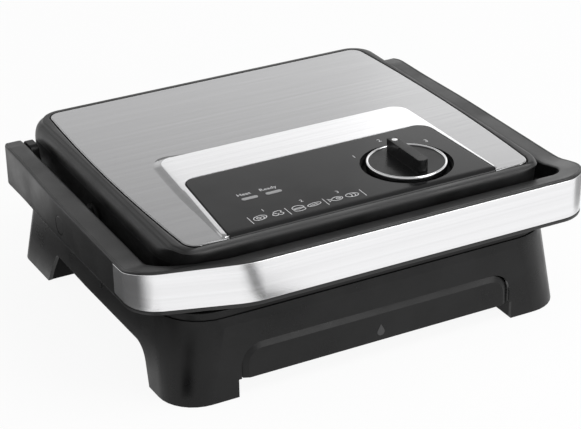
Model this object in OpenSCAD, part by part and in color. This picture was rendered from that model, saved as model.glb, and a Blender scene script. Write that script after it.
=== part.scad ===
// Electric contact grill: a four-legged base with the lower plate and a drip drawer, a U-shaped
// handle frame hinged at the back, and a lid with the upper plate that floats between its arms.
// Millimetres. +Z is up, the front faces -Y, the origin is the middle of the footprint at the feet.

/* [Overall] */
// Width over the arms of the handle frame
frame_w = 340; // [330:1:380]
// Depth from the steel band to the back of the lid
overall_d = 280; // [272:1:300]

/* [Base] */
// How far the base's top sits in from the arms' outer face at the left
base_in_left = 19.8; // [19.4:0.2:24]
// How far it sits in at the right
base_in_right = 26.2; // [24:0.2:28]
// How far the front feet sit in from the arms' outer face, each
feet_in = 17.2; // [16:0.2:20]
// How far the rear feet sit in, each
rear_feet_in = 11.2; // [10:0.2:17]
// Distance from the front of the handle band back to the front of the base
front_overhang = 6; // [5:0.5:10]
// Distance from the back of the lid forwards to the back of the feet
base_back = 5; // [4:0.5:10]
// Height of the seam between housing and collar
seam_z = 62.4; // [60:0.1:63.5]
// Height of the collar above the seam
collar_h = 5.4; // [4:0.1:5.6]
// Wall thickness of the plastic shells
wall = 3; // [2.4:0.1:3.4]
// Radius of the front corners at the feet
base_r = 27; // [20:1:34]
// Radius of the front corners at the top
top_r = 34; // [24:1:38]
// Length of a front leg along the side
front_leg_d = 41; // [36:1:50]
// Length of a rear leg along the side
rear_leg_d = 53; // [46:1:58]
// Height of the arches between the legs
arch_h = 28; // [20:1:29]
// How much wider the gap between the front legs is than the drawer
leg_more = 5.4; // [4.6:0.2:8]

/* [Drip drawer] */
// Distance from a side of the frame to the drawer front
drawer_in = 66; // [64.5:0.5:72]
// Height of the drawer front
drawer_h = 25; // [22:0.5:26]
// Height of the drawer's lower edge above the table
drawer_z = 13.2; // [12.8:0.1:15]
// Radius of the drawer's upper corners
drawer_r = 15; // [8:1:18]
// Length of the tray behind its front
tray_l = 185; // [150:1:205]
// Gap all round the drawer front
drawer_gap = 0.6; // [0.4:0.1:1]
// Width of the bevel round the drawer front
bevel_w = 4.2; // [2:0.2:5]

/* [Plates] */
// How far the plates' sides sit in from the lid's sides
plate_in = 22; // [20:1:34]
// Depth in front of and behind the plates together
plate_rest = 88; // [84:1:100]
// Gap between the ribs when the grill is shut and empty
plate_gap = 5; // [4.6:0.1:6]
// Number of ribs across a plate
rib_n = 21; // [13:1:25]
// Width of a rib
rib_w = 4; // [3:0.2:5]

/* [Handle frame] */
// Width of an arm seen from above
arm_w = 17; // [15:0.5:17.5]
// Height of the arms' top face
arm_top_z = 95.6; // [94:0.2:97]
// Height of the frame's rim at the front
rim_z = 102.5; // [101.5:0.5:104]
// Depth of the front bar seen from above
bar_d = 13.5; // [12:0.5:14]
// Height of the steel band
band_h = 29; // [26:0.5:30]
// Thickness of the steel band
band_t = 1.2; // [0.8:0.1:1.5]
// Length of the facet that turns back at the left end of the front
facet_x = 73; // [60:1:80]
// Angle of that facet
facet_a = 18; // [14:1:19]
// Outer radius of the frame's right front corner
corner_right = 25; // [20:1:32]
// Outer radius of the frame's left front corner
corner_left = 26; // [20:1:32]

/* [Lid] */
// Clearance between the lid's side and an arm
lid_gap = 9; // [8.5:0.5:12]
// Height of the lid's lower edge
lid_z = 80; // [79.5:0.1:81]
// Height of the steel top plate
top_z = 110; // [109.5:0.1:111]
// Height of the control panel and of the raised steel round it
panel_z = 111.2; // [110.8:0.1:112]
// How far the ridge round the lid's top sits in from its side
ridge_in = 3.8; // [3:0.2:6]
// How far the steel top plate sits in from the lid's side
steel_in = 9; // [8:0.5:13]
// How far the control panel sits in from the lid's side at the front
panel_in = 42.2; // [40:0.2:48]
// How far the panel's left edge leans in towards the back
panel_in_left = 8.6; // [0:0.2:10]
// How far its right edge leans in towards the back
panel_in_right = 3; // [0:0.2:10]
// Depth of the control panel
panel_d = 90; // [82:1:94]

/* [Knob] */
// Diameter of the chrome ring of the knob
ring_d = 56.6; // [50:0.2:58]
// Width of the dark groove round the ring
groove_w = 3.3; // [2.6:0.1:4]
// Height of the grip's top
knob_top_z = 122.5; // [119:0.5:124]
// Width of the grip
grip_w = 7.6; // [6:0.2:9]

/* [Hinges] */
// Radius of the hinge and pivot pins
pin_r = 4; // [3:0.1:4.4]
// Running clearance round a pin
pin_c = 0.05; // [0.03:0.01:0.08]
// Height of the rear hinge
hinge_z = 77; // [76.5:0.1:78]
// Height of the pivot between arms and lid
pivot_z = 79; // [78.5:0.1:79.5]

/* [Hidden] */
$fn = 48;
eps = 0.5;
touch = 0.3;
fit = 0.15;

front_y = -overall_d / 2;
rear_y = overall_d / 2;
base_front = front_y + front_overhang;
base_rear = rear_y - base_back;
base_left = frame_w / 2 - base_in_left;
base_right = frame_w / 2 - base_in_right;
feet_w = frame_w - 2 * feet_in;
rear_feet_w = frame_w - 2 * rear_feet_in;
drawer_w = frame_w - 2 * drawer_in;
leg_gap = drawer_w + leg_more;
arm_in = frame_w / 2 - arm_w;
lid_w = 2 * (arm_in - lid_gap);
ridge_w = lid_w - 2 * ridge_in;
steel_w = lid_w - 2 * steel_in;
panel_w = lid_w - 2 * panel_in;
plate_w = lid_w - 2 * plate_in;
plate_d = overall_d - plate_rest;
base_taper_rear = 10;
rear_r = 14;
chamfer_z = seam_z - 6.3;
chamfer_d = 0.9;
collar_z = seam_z + collar_h;
step_y = rear_y - 35;
step_z = 44;
deck_z = 41;
leg_z = 0.4;
foot_z = drawer_z;
leg_x = leg_gap / 2;
slot_z = drawer_z + drawer_h + drawer_gap;
pad_r = 8;
pad_h = 3;

plate_y = -2;
rib_h = 4;
slab_h = 4.6;
lower_top = pivot_z - 3 - plate_gap / 2;
upper_bottom = lower_top + plate_gap;
tube_r = 3.2;
shield_t = 0.8;
element_x = plate_w / 2 - 32;
element_y = plate_d / 2 - 30;

frame_rear = rear_y - 13;
rise_y = front_y + 50;
under_z = 69;
arm_under_z = 65;
band_z = 71.8;
band_end = front_y + 57;
facet_t = 8;
cavity_top = 5;
screw_l = rim_z - cavity_top - under_z - 6;
strap_x = frame_w / 2 - 11;
strap_t = 2.5;
strap_z0 = pivot_z - 8;
strap_z1 = pivot_z + 9.5;

hinge_y = rear_y - 24;
pivot_y = 13;
tower_t = 3;
tower_x = arm_in - 5.5;
cover_in = 1.4;
cover_out = arm_in - 0.6;
cover_top = 96;
boss_r = 9;
cap_r = 7;

lid_front = front_y + 19;
lid_r = 32;
lid_rear_r = 20;
ridge_r = 17;
ridge_z = 106.6;
deck_top = top_z - 1.2;
steel_bow = 4.5;
steel_gap = 0.6;
steel_front = lid_front + 3.6;
panel_front = steel_front + 1;
panel_rear = panel_front + panel_d;
plateau_rear = panel_rear + 40.5;
plateau_side = 2.6;

knob_in = 48.1;
lens_in = 36.3;
lens_pitch = 18;
knob_x = panel_w / 2 - knob_in;
knob_y = panel_front + 38;
well_r = ring_d / 2 + groove_w;
well_floor = 105;
ring_z = panel_z + 2.3;
ring_w = 1.9;
grip_l = 42;
shaft_r = 3;
lens_y = panel_front + 42.5;
lens_x = [lens_in - panel_w / 2, lens_in + lens_pitch - panel_w / 2];
lens_l = 12;
lens_w = 3.4;

// ---- helpers --------------------------------------------------------------------------------

function unit(v) = v / norm(v);

// The arc that rounds the corner b between a and c
function corner_arc(a, b, c, r, n = 8) =
    r <= 0 ? [b] :
    let (u = unit(a - b), v = unit(c - b), half = acos(u * v) / 2,
         o = b + unit(u + v) * (r / sin(half)),
         s = b + u * (r / tan(half)) - o, e = b + v * (r / tan(half)) - o,
         a0 = atan2(s[1], s[0]), turn = ((atan2(e[1], e[0]) - a0 + 540) % 360) - 180)
    [for (i = [0:n]) o + r * [cos(a0 + turn * i / n), sin(a0 + turn * i / n)]];

// A closed outline with each corner rounded by its own radius
function rounded(p, r) = let (n = len(p))
    [for (i = [0:n - 1]) each corner_arc(p[(i + n - 1) % n], p[i], p[(i + 1) % n], r[i])];

function reversed(p) = [for (i = [len(p) - 1:-1:0]) p[i]];

function box_outline(w, y0, y1, rf, rr) =
    rounded([[-w / 2, y0], [w / 2, y0], [w / 2, y1], [-w / 2, y1]], [rf, rf, rr, rr]);

// A plate whose sides bow out by the given amount
function bowed_outline(w, y0, y1, bow, rf, rr, n = 8) =
    let (side = [for (i = [1:n - 1]) let (t = i / n)
                 [w / 2 - bow * pow(2 * t - 1, 2), y0 + (y1 - y0) * t]],
         h = w / 2 - bow)
    rounded(concat([[-h, y0], [h, y0]], side, [[h, y1], [-h, y1]],
                   [for (q = reversed(side)) [-q[0], q[1]]]),
            concat([rf, rf], [for (q = side) 0], [rr, rr], [for (q = side) 0]));

module slab(points, z0, z1) translate([0, 0, z0]) linear_extrude(z1 - z0) polygon(points);

module block(x0, x1, y0, y1, z0, z1) translate([x0, y0, z0]) cube([x1 - x0, y1 - y0, z1 - z0]);

// A prism along X whose section is drawn in Y and Z
module along_x(points, x0, x1)
    translate([x0, 0, 0]) rotate([90, 0, 90]) linear_extrude(x1 - x0) polygon(points);

module rod_x(r, x0, x1, y, z) translate([x0, y, z]) rotate([0, 90, 0]) cylinder(r = r, h = x1 - x0);

module both_sides() { children(); mirror([1, 0, 0]) children(); }

// ---- base -----------------------------------------------------------------------------------

function feet_plan(e) = rounded(
    [[-feet_w / 2 + e, base_front + e], [feet_w / 2 - e, base_front + e],
     [rear_feet_w / 2 - e, base_rear - e], [-rear_feet_w / 2 + e, base_rear - e]],
    [base_r - e, base_r - e, rear_r - e, rear_r - e]);
function top_plan(e, y1) = rounded(
    [[-base_left + e, base_front + e], [base_right - e, base_front + e],
     [base_left - e, y1 - e], [-base_left + e, y1 - e]],
    [top_r - e, top_r - e, rear_r - e, rear_r - e]);

module base_solid(e, z0) {
    hull() {
        slab(feet_plan(e), z0, z0 + 0.1);
        slab(top_plan(e - chamfer_d, base_rear - base_taper_rear), chamfer_z - 0.1, chamfer_z);
        slab(top_plan(e, base_rear - base_taper_rear), seam_z - 0.1, seam_z);
    }
}

function arch_section() = rounded(
    [[base_front + front_leg_d, -eps], [base_front + front_leg_d + 9, arch_h],
     [base_rear - rear_leg_d - 15, arch_h], [base_rear - rear_leg_d, -eps]], [0, 15, 6, 0]);

function drawer_outline(g) = rounded(
    [[-drawer_w / 2 - g, drawer_z], [drawer_w / 2 + g, drawer_z],
     [drawer_w / 2 + g, drawer_z + drawer_h + g], [-drawer_w / 2 - g, drawer_z + drawer_h + g]],
    [1, 1, drawer_r + g, drawer_r + g]);

module facing_front(points, y0, y1)
    translate([0, y1, 0]) rotate([90, 0, 0]) linear_extrude(y1 - y0) polygon(points);

module drawer_way() {
    facing_front(drawer_outline(drawer_gap), front_y, base_front + wall + 1.5);
    block(-leg_x, leg_x, front_y, base_front + wall + 1.5, -eps, drawer_z + 0.6);
}

// The outer shell: a ring of drafted walls with arches at the sides and a bay for the drawer
module base_ring() difference() {
    base_solid(0, leg_z);
    block(-frame_w, frame_w, step_y, rear_y + eps, step_z, seam_z + eps);
    base_solid(wall, leg_z - 1);
    along_x(arch_section(), -frame_w, frame_w);
    drawer_way();
    block(-leg_x + 12, leg_x - 12, base_rear - rear_leg_d - eps, rear_y, -eps, 15);
    translate([gland_x, base_rear - 12, gland_z]) rotate([-90, 0, 0]) cylinder(r = gland_r, h = 30);
    both_sides() block(tower_x - 4, frame_w, hinge_y - 16, step_y + eps, step_z, seam_z + eps);
}

module base_housing() color("#1c1c1e") difference() {
    base_ring();
    block(-frame_w, frame_w, front_y, rear_y, -eps, foot_z);
}

// The four feet of the shell, moulded on below the drawer's lower edge
module foot_shells() color("#1c1c1e") intersection() {
    base_ring();
    block(-frame_w, frame_w, front_y, rear_y, 0, foot_z);
}

// The deck closes the shell below the lower plate; behind the tub it is the step under the hinge
module base_deck() color("#1a1a1c") difference() {
    union() {
        intersection() {
            base_solid(wall + fit, leg_z - 1);
            block(-frame_w, frame_w, front_y, rear_y, deck_z, deck_z + wall);
        }
        intersection() {
            base_solid(wall + fit, leg_z - 1);
            block(-tower_x + 5, tower_x - 5, step_y - wall, step_y, deck_z, seam_z);
        }
    }
    translate([0, chute_y, deck_z - eps]) cylinder(r = chute_r, h = wall + 2 * eps);
    both_sides() translate([tower_x - screw_in, hinge_y - 3, step_z - 10]) cylinder(r = 2.1, h = 12);
}

// The inner walls of the four legs, with the posts that carry the pads
module leg_linings() color("#1b1b1d") difference() {
    intersection() {
        base_solid(wall + fit, leg_z);
        block(-frame_w, frame_w, front_y, rear_y, leg_z, deck_z - fit);
        union() {
            both_sides() {
                block(leg_x, leg_x + wall, front_y, base_front + front_leg_d, 0, deck_z);
                block(leg_x, frame_w, base_front + front_leg_d - wall, base_front + front_leg_d, 0, deck_z);
                block(leg_x, frame_w, base_rear - rear_leg_d, base_rear - rear_leg_d + wall, 0, deck_z);
                block(leg_x - 15, leg_x - 15 + wall, base_rear - rear_leg_d, rear_y, 0, deck_z);
                block(leg_x - 15, leg_x, base_rear - rear_leg_d, base_rear - rear_leg_d + wall, 0, deck_z);
                for (y = pad_ys) translate([pad_x, y, 0]) cylinder(r = pad_r + 2, h = deck_z);
            }
        }
    }
    along_x(arch_section(), -frame_w, frame_w);
    drawer_way();
    block(-leg_x + 12, leg_x - 12, base_rear - rear_leg_d - eps, rear_y, -eps, 15);
    both_sides() for (y = pad_ys) translate([pad_x, y, 0]) {
        cylinder(r = pad_r + 0.1, h = pad_h - 0.5);
        cylinder(r = 1.6, h = 16);
    }
    both_sides() translate([tower_x - screw_in, hinge_y - 3, step_z - 8]) cylinder(r = 2.1, h = 10);
}
pad_x = leg_x + 25;
pad_ys = [base_front + 22, base_rear - 24];
gland_in = 36.7;
gland_x = gland_in - leg_x;
gland_z = 30;
gland_r = 6;
chute_y = plate_y - plate_d / 2 + 12;
chute_r = 7;

module base_collar() color("#232325") difference() {
    intersection() {
        slab(top_plan(0.9, base_rear - base_taper_rear), seam_z, collar_z);
        block(-frame_w, frame_w, front_y, step_y, seam_z, collar_z);
    }
    slab(box_outline(plate_w + 3, plate_y - plate_d / 2 - 1.5, plate_y + plate_d / 2 + 1.5, 12, 12),
         seam_z - eps, collar_z + eps);
    both_sides() block(tower_x - 4, frame_w, hinge_y - 16, step_y + eps, seam_z - eps, collar_z + eps);
}

module base_side_covers() color("#19191b") both_sides()
    block(leg_x + wall + 0.2, leg_x + wall + 34, base_front + front_leg_d + 0.3,
          base_rear - rear_leg_d - 0.3, deck_z - 9, deck_z - 7);

module foot_pads() color("#2b2b2b") both_sides() for (y = pad_ys)
    translate([pad_x, y, 0]) difference() {
        cylinder(r = pad_r, h = pad_h - 0.5);
        translate([0, 0, -eps]) cylinder(r = 3.6, h = 1.5 + eps);
        cylinder(r = 1.7, h = pad_h);
    }

module foot_screws() color("silver") both_sides() for (y = pad_ys) translate([pad_x, y, 0]) {
    translate([0, 0, 0.5]) cylinder(r = 3.2, h = 1);
    translate([0, 0, 1.5]) cylinder(r = 1.55, h = 13);
}

// A ribbed cast plate with its slab on one side of z and its ribs on the other
module grill_plate(z_rib, dir) {
    z_slab = z_rib - dir * rib_h;
    pitch = (plate_w - 20 - rib_w) / (rib_n - 1);
    slab(box_outline(plate_w, plate_y - plate_d / 2, plate_y + plate_d / 2, 10, 10),
         min(z_slab, z_slab - dir * slab_h), max(z_slab, z_slab - dir * slab_h));
    for (i = [0:rib_n - 1])
        block(-plate_w / 2 + 10 + i * pitch, -plate_w / 2 + 10 + i * pitch + rib_w,
              plate_y - plate_d / 2 + 22, plate_y + plate_d / 2 - 10,
              min(z_rib, z_slab) - (dir < 0 ? 0 : 0.2), max(z_rib, z_slab) + (dir < 0 ? 0.2 : 0));
}

plate_screw_xy = [for (x = [-1, 1], y = [-1, 1])
    [x * (plate_w / 2 - 16), plate_y + y * (plate_d / 2 - 16)]];

module lower_grill_plate() color("#2e2e30") difference() {
    grill_plate(lower_top, 1);
    translate([0, chute_y, lower_top - 20]) cylinder(r = chute_r - 2, h = 30);
    // shallow gutter that leads fat to the outlet
    block(-plate_w / 2 + 12, plate_w / 2 - 12, chute_y - 5, chute_y + 5,
          lower_top - rib_h - 1.6, lower_top + 1);
    for (p = plate_screw_xy) translate([p[0], p[1], lower_top - 30]) cylinder(r = 1.6, h = 25);
}

module element(z) {
    for (x = [-1, 1]) translate([x * element_x, plate_y - element_y, z]) rotate([-90, 0, 0])
        cylinder(r = tube_r, h = 2 * element_y, $fn = 24);
    for (y = [-1, 1]) translate([-element_x, plate_y + y * element_y, z]) rotate([0, 90, 0])
        cylinder(r = tube_r, h = 2 * element_x, $fn = 24);
    for (x = [-1, 1], y = [-1, 1]) translate([x * element_x, plate_y + y * element_y, z])
        sphere(r = tube_r, $fn = 24);
}

lower_slab_z = lower_top - rib_h - slab_h;
upper_slab_z = upper_bottom + rib_h + slab_h;

module lower_element() color("#777777") element(lower_slab_z - tube_r);

module heat_shield(z) difference() {
    slab(box_outline(plate_w - 8, plate_y - plate_d / 2 + 4, plate_y + plate_d / 2 - 4, 8, 8),
         z, z + shield_t);
    for (p = plate_screw_xy) translate([p[0], p[1], z - eps]) cylinder(r = 1.8, h = 2);
}

lower_shield_z = lower_slab_z - 2 * tube_r - shield_t;

module lower_heat_shield() color("silver") difference() {
    heat_shield(lower_shield_z);
    translate([0, chute_y, lower_shield_z - eps]) cylinder(r = chute_r + 1, h = 2);
    block(1 - chute_r, chute_r - 1, chute_y - 20, chute_y, lower_shield_z - eps, lower_shield_z + 2);
}

module lower_plate_screws() color("silver") for (p = plate_screw_xy)
    translate([p[0], p[1], deck_z + wall]) {
        difference() {
            cylinder(r = 4, h = lower_shield_z - deck_z - wall);
            translate([0, 0, 2]) cylinder(r = 1.9, h = 40);
        }
        translate([0, 0, 2]) cylinder(r = 1.5, h = lower_slab_z + 3 - deck_z - wall - 2);
    }

module grease_chute() color("#3a3a3c") translate([0, chute_y, deck_z - 1]) difference() {
    union() {
        cylinder(r = chute_r - 0.1, h = lower_slab_z - deck_z + 1);
        translate([0, 0, wall + 1]) cylinder(r = chute_r + 2, h = 1.5);
    }
    translate([0, 0, -eps]) cylinder(r = chute_r - 1.8, h = 60);
}

rail_y0 = base_front + wall + 3;
rail_y1 = rail_y0 + tray_l - 6;
tray_w = drawer_w - 14;
tray_rim = 3;
tray_top = deck_z - 8;
tray_flange = tray_w / 2 + 3.4;

module tray_rails() color("#1f1f21") both_sides() {
    block(tray_w / 2 + 0.8, leg_x, rail_y0, rail_y1, tray_top - 6, tray_top - tray_rim - 0.4);
    block(leg_x - 2.2, leg_x, rail_y0, rail_y1, tray_top - tray_rim - 0.4, deck_z);
}

module terminal_block() color("#e8e6df") difference() {
    block(gland_x - 15, gland_x + 15, base_rear - 38, base_rear - 26, deck_z - 18, deck_z);
    for (i = [-1:1]) translate([gland_x + i * 9, base_rear - 39, deck_z - 9]) rotate([-90, 0, 0])
        cylinder(r = 2, h = 14);
}

gland_y = base_rear - 13.5;
module cord_gland() color("#121213") translate([gland_x, gland_y, gland_z])
    rotate([-90, 0, 0]) difference() {
        union() {
            cylinder(r = gland_r - 0.1, h = 11);
            cylinder(r = gland_r + 2, h = 3.5);
        }
        translate([0, 0, -eps]) cylinder(r = cord_r, h = 20);
    }

function tower_section(r, z0) = concat(
    [[hinge_y - r, z0], [hinge_y + r, z0]],
    [for (i = [0:16]) [hinge_y + r * cos(180 * i / 16), hinge_z + r * sin(180 * i / 16)]]);

bracket_foot = 20;
screw_in = 12;
cord_r = 3.6;

module hinge_brackets() color("#8d8f92") both_sides() difference() {
    union() {
        along_x(tower_section(boss_r - 1, step_z), tower_x, tower_x + tower_t);
        block(tower_x - bracket_foot, tower_x + tower_t, step_y + 0.5, hinge_y + boss_r - 1, step_z, step_z + 2);
    }
    rod_x(pin_r, tower_x - 30, frame_w, hinge_y, hinge_z);
    translate([tower_x - screw_in, hinge_y - 3, step_z - 1]) cylinder(r = 2.1, h = 4);
}

module hinge_covers() color("#1d1d1f") both_sides() difference() {
    along_x(rounded([[step_y + 0.5, step_z], [frame_rear, step_z], [frame_rear, cover_top],
                     [hinge_y - 5, cover_top], [step_y + 0.5, hinge_z]], [0, 0, 5, 5, 5]),
            tower_x - cover_in, cover_out);
    along_x(tower_section(boss_r - 0.7, step_z - 1), tower_x - 0.3, tower_x + tower_t + 0.3);
    block(tower_x - 30, tower_x + tower_t + 0.3, step_y, hinge_y + boss_r - 0.7, step_z - 1,
          step_z + 2.3);
    rod_x(pin_r + 2.6, tower_x - 30, tower_x + 1, hinge_y, hinge_z);
    rod_x(pin_r + 0.3, tower_x, frame_w, hinge_y, hinge_z);
}

module hinge_screws() color("silver") both_sides() translate([tower_x - screw_in, hinge_y - 3, 0]) {
    translate([0, 0, step_z - 6]) cylinder(r = 2, h = 8);
    translate([0, 0, step_z + 2]) cylinder(r = 3.6, h = 1.8);
}

module hinge_pins() color("silver") both_sides() {
    rod_x(pin_r, tower_x, strap_x + 6, hinge_y, hinge_z);
    rod_x(pin_r + 2.2, tower_x - 1.2, tower_x, hinge_y, hinge_z);
}

// ---- drip drawer ----------------------------------------------------------------------------

module drip_tray() color("#2a2a2c") difference() {
    union() {
        block(-tray_w / 2, tray_w / 2, base_front + wall, base_front + wall + tray_l,
              drawer_z + 1.2, tray_top);
        block(-tray_flange, tray_flange, base_front + wall + 3, base_front + wall + tray_l,
              tray_top - tray_rim, tray_top);
    }
    block(-tray_w / 2 + 2, tray_w / 2 - 2, base_front + wall + 2, base_front + wall + tray_l - 2,
          drawer_z + 3.2, tray_top + 1);
}

module drawer_front() color("#1e1e20") {
    facing_front(drawer_outline(0), base_front + 2, base_front + wall);
    hull() {
        facing_front(drawer_outline(0), base_front + 1.4, base_front + 2);
        facing_front(drawer_outline(-bevel_w), base_front - 0.4, base_front);
    }
}

// ---- handle frame ---------------------------------------------------------------------------

facet_p = [-frame_w / 2 + facet_x, front_y];

// Where the facet meets the front line and the left side, for a path set in by e and a side at hw
function facet_front(e) = [facet_p[0] + e * (sin(facet_a) - (1 - cos(facet_a)) / tan(facet_a)),
                           front_y + e];
function facet_side(e, hw) = let (t = (facet_p[0] + e * sin(facet_a) + hw) / cos(facet_a))
    [-hw, front_y + e * cos(facet_a) + t * sin(facet_a)];

function frame_outer(e) = let (hw = frame_w / 2 - e)
    rounded([[hw, frame_rear - e], [hw, front_y + e], facet_front(e), facet_side(e, hw),
             [-hw, frame_rear - e]],
            [0, corner_right - e, 60 - e, corner_left - e, 0]);

// The opening: its front line, facet and sides are set in by their own widths, less e
function frame_inner(e) = let (hw = arm_in + e, yi = front_y + bar_d - e,
                              s = facet_side(facet_t - e, hw),
                              x = s[0] + (s[1] - yi) / tan(facet_a))
    rounded([[hw, frame_rear + 1], [hw, yi], [x, yi], s, [-hw, frame_rear + 1]],
            [0, 11 + e, 60, 27 + e, 0]);

function frame_ring(e) = concat(frame_outer(e), reversed(frame_inner(e)));

// Side view of the frame: flat arms that rise to the rim at the front
function frame_side(e) = concat(
    [[frame_rear + 1, arm_under_z + e], [frame_rear + 1, arm_top_z - 3 - e],
     [frame_rear - 2.5, arm_top_z - e]],
    [[rise_y + 4, arm_top_z - 0.4 - e], [rise_y - 7, arm_top_z - 0.2 - e],
     [rise_y - 18, arm_top_z + 2.6 - e], [rise_y - 30, arm_top_z + 4.9 - e], [front_y - 1, rim_z - e]],
    [[front_y - 1, under_z + e], [band_end, under_z + e]]);

function band_side(c) = [[band_end - c, band_z + c], [front_y - 1, band_z + c],
    [front_y - 1, band_z + band_h - c], [front_y + 13, band_z + band_h - c],
    [band_end - c, band_z + band_h - 5 - c]];

module band_zone(c) intersection() {
    along_x(band_side(c), -frame_w, frame_w);
    difference() {
        slab(frame_outer(c), 0, 200);
        slab(frame_outer(band_t), -1, 201);
    }
}

module handle_frame() color("#232326") {
    difference() {
        intersection() {
            slab(frame_ring(0), 0, 200);
            along_x(frame_side(0), -frame_w, frame_w);
        }
        // hollow underneath, with solid bosses left round the pins and screws
        difference() {
            union() {
                intersection() {
                    slab(frame_ring(wall + 0.5), 0, 200);
                    along_x(frame_side(cavity_top), -frame_w, frame_w);
                }
                intersection() {
                    slab(frame_ring(wall + 0.5), 0, under_z + wall + 4);
                    along_x([[frame_rear - 4, 0], [frame_rear - 4, arm_under_z + cavity_top + 0.5],
                             [band_end, under_z + cavity_top + 0.5], [front_y, under_z + cavity_top + 0.5],
                             [front_y, 0]], -frame_w, frame_w);
                }
            }
            both_sides() {
                rod_x(boss_r, arm_in - 1, frame_w / 2, hinge_y, hinge_z);
                rod_x(boss_r, arm_in - 1, frame_w / 2, pivot_y, pivot_z);
            }
            for (p = handle_screw_xy) translate([p[0], p[1], under_z + wall + 0.4])
                cylinder(r = 3.6, h = 40);
        }
        for (p = handle_screw_xy) translate([p[0], p[1], under_z]) cylinder(r = 1.52, h = screw_l + 2);
        band_zone(0);
        both_sides() {
            block(strap_x - 0.1, strap_x + strap_t + 0.1, pivot_y - 13, hinge_y + 9, arm_under_z - 5,
                  strap_z1 + 0.5);
            rod_x(pin_r + pin_c, arm_in - 1, strap_x + 7, hinge_y, hinge_z);
            rod_x(pin_r + 0.02, arm_in - 1, strap_x + 7, pivot_y, pivot_z);
            rod_x(cap_r + 0.05, frame_w / 2 - 1.8, frame_w / 2 + 1, pivot_y, pivot_z);
        }
    }
}

module handle_underside() color("#1c1c1e") difference() {
    intersection() {
        slab(frame_ring(wall + 0.6), 0, 200);
        along_x([[frame_rear - 4.2, arm_under_z + 1.2], [frame_rear - 4.2, arm_under_z + 3.2],
                 [band_end, under_z + 3.2], [front_y, under_z + 3.2],
                 [front_y, under_z + 1.2], [band_end, under_z + 1.2]], -frame_w, frame_w);
    }
    both_sides() {
        rod_x(boss_r + 0.3, arm_in - 1, frame_w / 2, hinge_y, hinge_z);
        rod_x(boss_r + 0.3, arm_in - 1, frame_w / 2, pivot_y, pivot_z);
        block(strap_x - 0.4, strap_x + strap_t + 0.4, pivot_y - 14, hinge_y + 10, arm_under_z - 5,
              strap_z1 + 0.5);
    }
    for (p = handle_screw_xy) translate([p[0], p[1], under_z - 9]) cylinder(r = 1.8, h = 14);
}
handle_screw_xy = [for (x = [-1:1]) [x * lid_w * 0.243, front_y + bar_d / 2]];
handle_boss_top = rim_z - cavity_top;

module handle_band() color("#c9cacc") band_zone(0);

module arm_straps() color("silver") both_sides() difference() {
    block(strap_x, strap_x + strap_t, pivot_y - 12, hinge_y + 8, strap_z0, strap_z1);
    rod_x(pin_r + pin_c, strap_x - 1, strap_x + 4, hinge_y, hinge_z);
    rod_x(pin_r, strap_x - 1, strap_x + 4, pivot_y, pivot_z);
}

module pivot_pins() color("silver") both_sides()
    rod_x(pin_r, lid_w / 2 - 8, strap_x + 6.5, pivot_y, pivot_z);

module pivot_caps() color("#262628") both_sides()
    rod_x(cap_r, frame_w / 2 - 1.8, frame_w / 2, pivot_y, pivot_z);

module handle_screws() color("silver") for (p = handle_screw_xy) translate([p[0], p[1], 0]) {
    translate([0, 0, under_z - 0.2]) cylinder(r = 3, h = 1.4);
    translate([0, 0, under_z + 1.2]) cylinder(r = 1.5, h = screw_l);
}

// ---- lid ------------------------------------------------------------------------------------

function lid_outline(e) = box_outline(lid_w - 2 * e, lid_front + e, rear_y - e, lid_r - e, lid_rear_r - e);
function ridge_outline(e) = box_outline(ridge_w - 2 * e, lid_front - 0.5 + e, rear_y - 3.5 - e,
                                        ridge_r - e, lid_rear_r - 1 - e);
function steel_outline(g) = bowed_outline(steel_w + 2 * g, steel_front - g, rear_y - 10.5 + g,
                                          steel_bow, 10 + g, 9 + g);
function panel_outline(g) = rounded(
    [[-panel_w / 2 - g, panel_front - g], [panel_w / 2 + g, panel_front - g],
     [panel_w / 2 - panel_in_right + g, panel_rear + g],
     [-panel_w / 2 + panel_in_left - g, panel_rear + g]], [2, 2, 11 + g, 11 + g]);
function plateau_outline() = rounded(
    [[-panel_w / 2 - plateau_side - 2, steel_front + 1], [panel_w / 2 + plateau_side, steel_front + 1],
     [panel_w / 2 + plateau_side - 1, plateau_rear],
     [-panel_w / 2 - plateau_side + panel_in_left + 1.5, plateau_rear]],
    [2, 2, 13, 13]);

module lid_housing() color("#242427") {
    difference() {
        union() {
            hull() {
                slab(lid_outline(0), lid_z, lid_z + 14);
                slab(lid_outline(0.5), 100, 100.1);
                slab(ridge_outline(0), ridge_z, ridge_z + 0.1);
                slab(ridge_outline(2), top_z - 1.4, top_z - 1.3);
                slab(ridge_outline(3.6), top_z - 0.4, top_z - 0.3);
            }
            both_sides() rod_x(boss_r + 1, lid_w / 2 - 8, lid_w / 2 + 2, pivot_y, pivot_z);
        }
        slab(lid_outline(wall + 1.5), lid_z - 12, deck_top - wall - 0.2);
        slab(steel_outline(steel_gap), deck_top, top_z + 5);
        translate([knob_x, knob_y, deck_top - 10]) cylinder(r = well_r + 1.7, h = 20);
        for (x = lens_x) block(x - lens_l / 2 - 1, x + lens_l / 2 + 1, lens_y - lens_w / 2 - 1,
                               lens_y + lens_w / 2 + 1, deck_top - 10, top_z + 1);
        both_sides() rod_x(bush_r, lid_w / 2 - 20, lid_w / 2 + 3, pivot_y, pivot_z);
    }
}
bush_r = pin_r + 3;

module lid_top_plate() color("#c4c5c7") difference() {
    union() {
        slab(steel_outline(0), deck_top, top_z);
        intersection() {
            slab(plateau_outline(), deck_top, panel_z);
            slab(steel_outline(0), deck_top - 1, panel_z + 1);
        }
    }
    slab(panel_outline(0.15), deck_top - 1, panel_z + 1);
}

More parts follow.
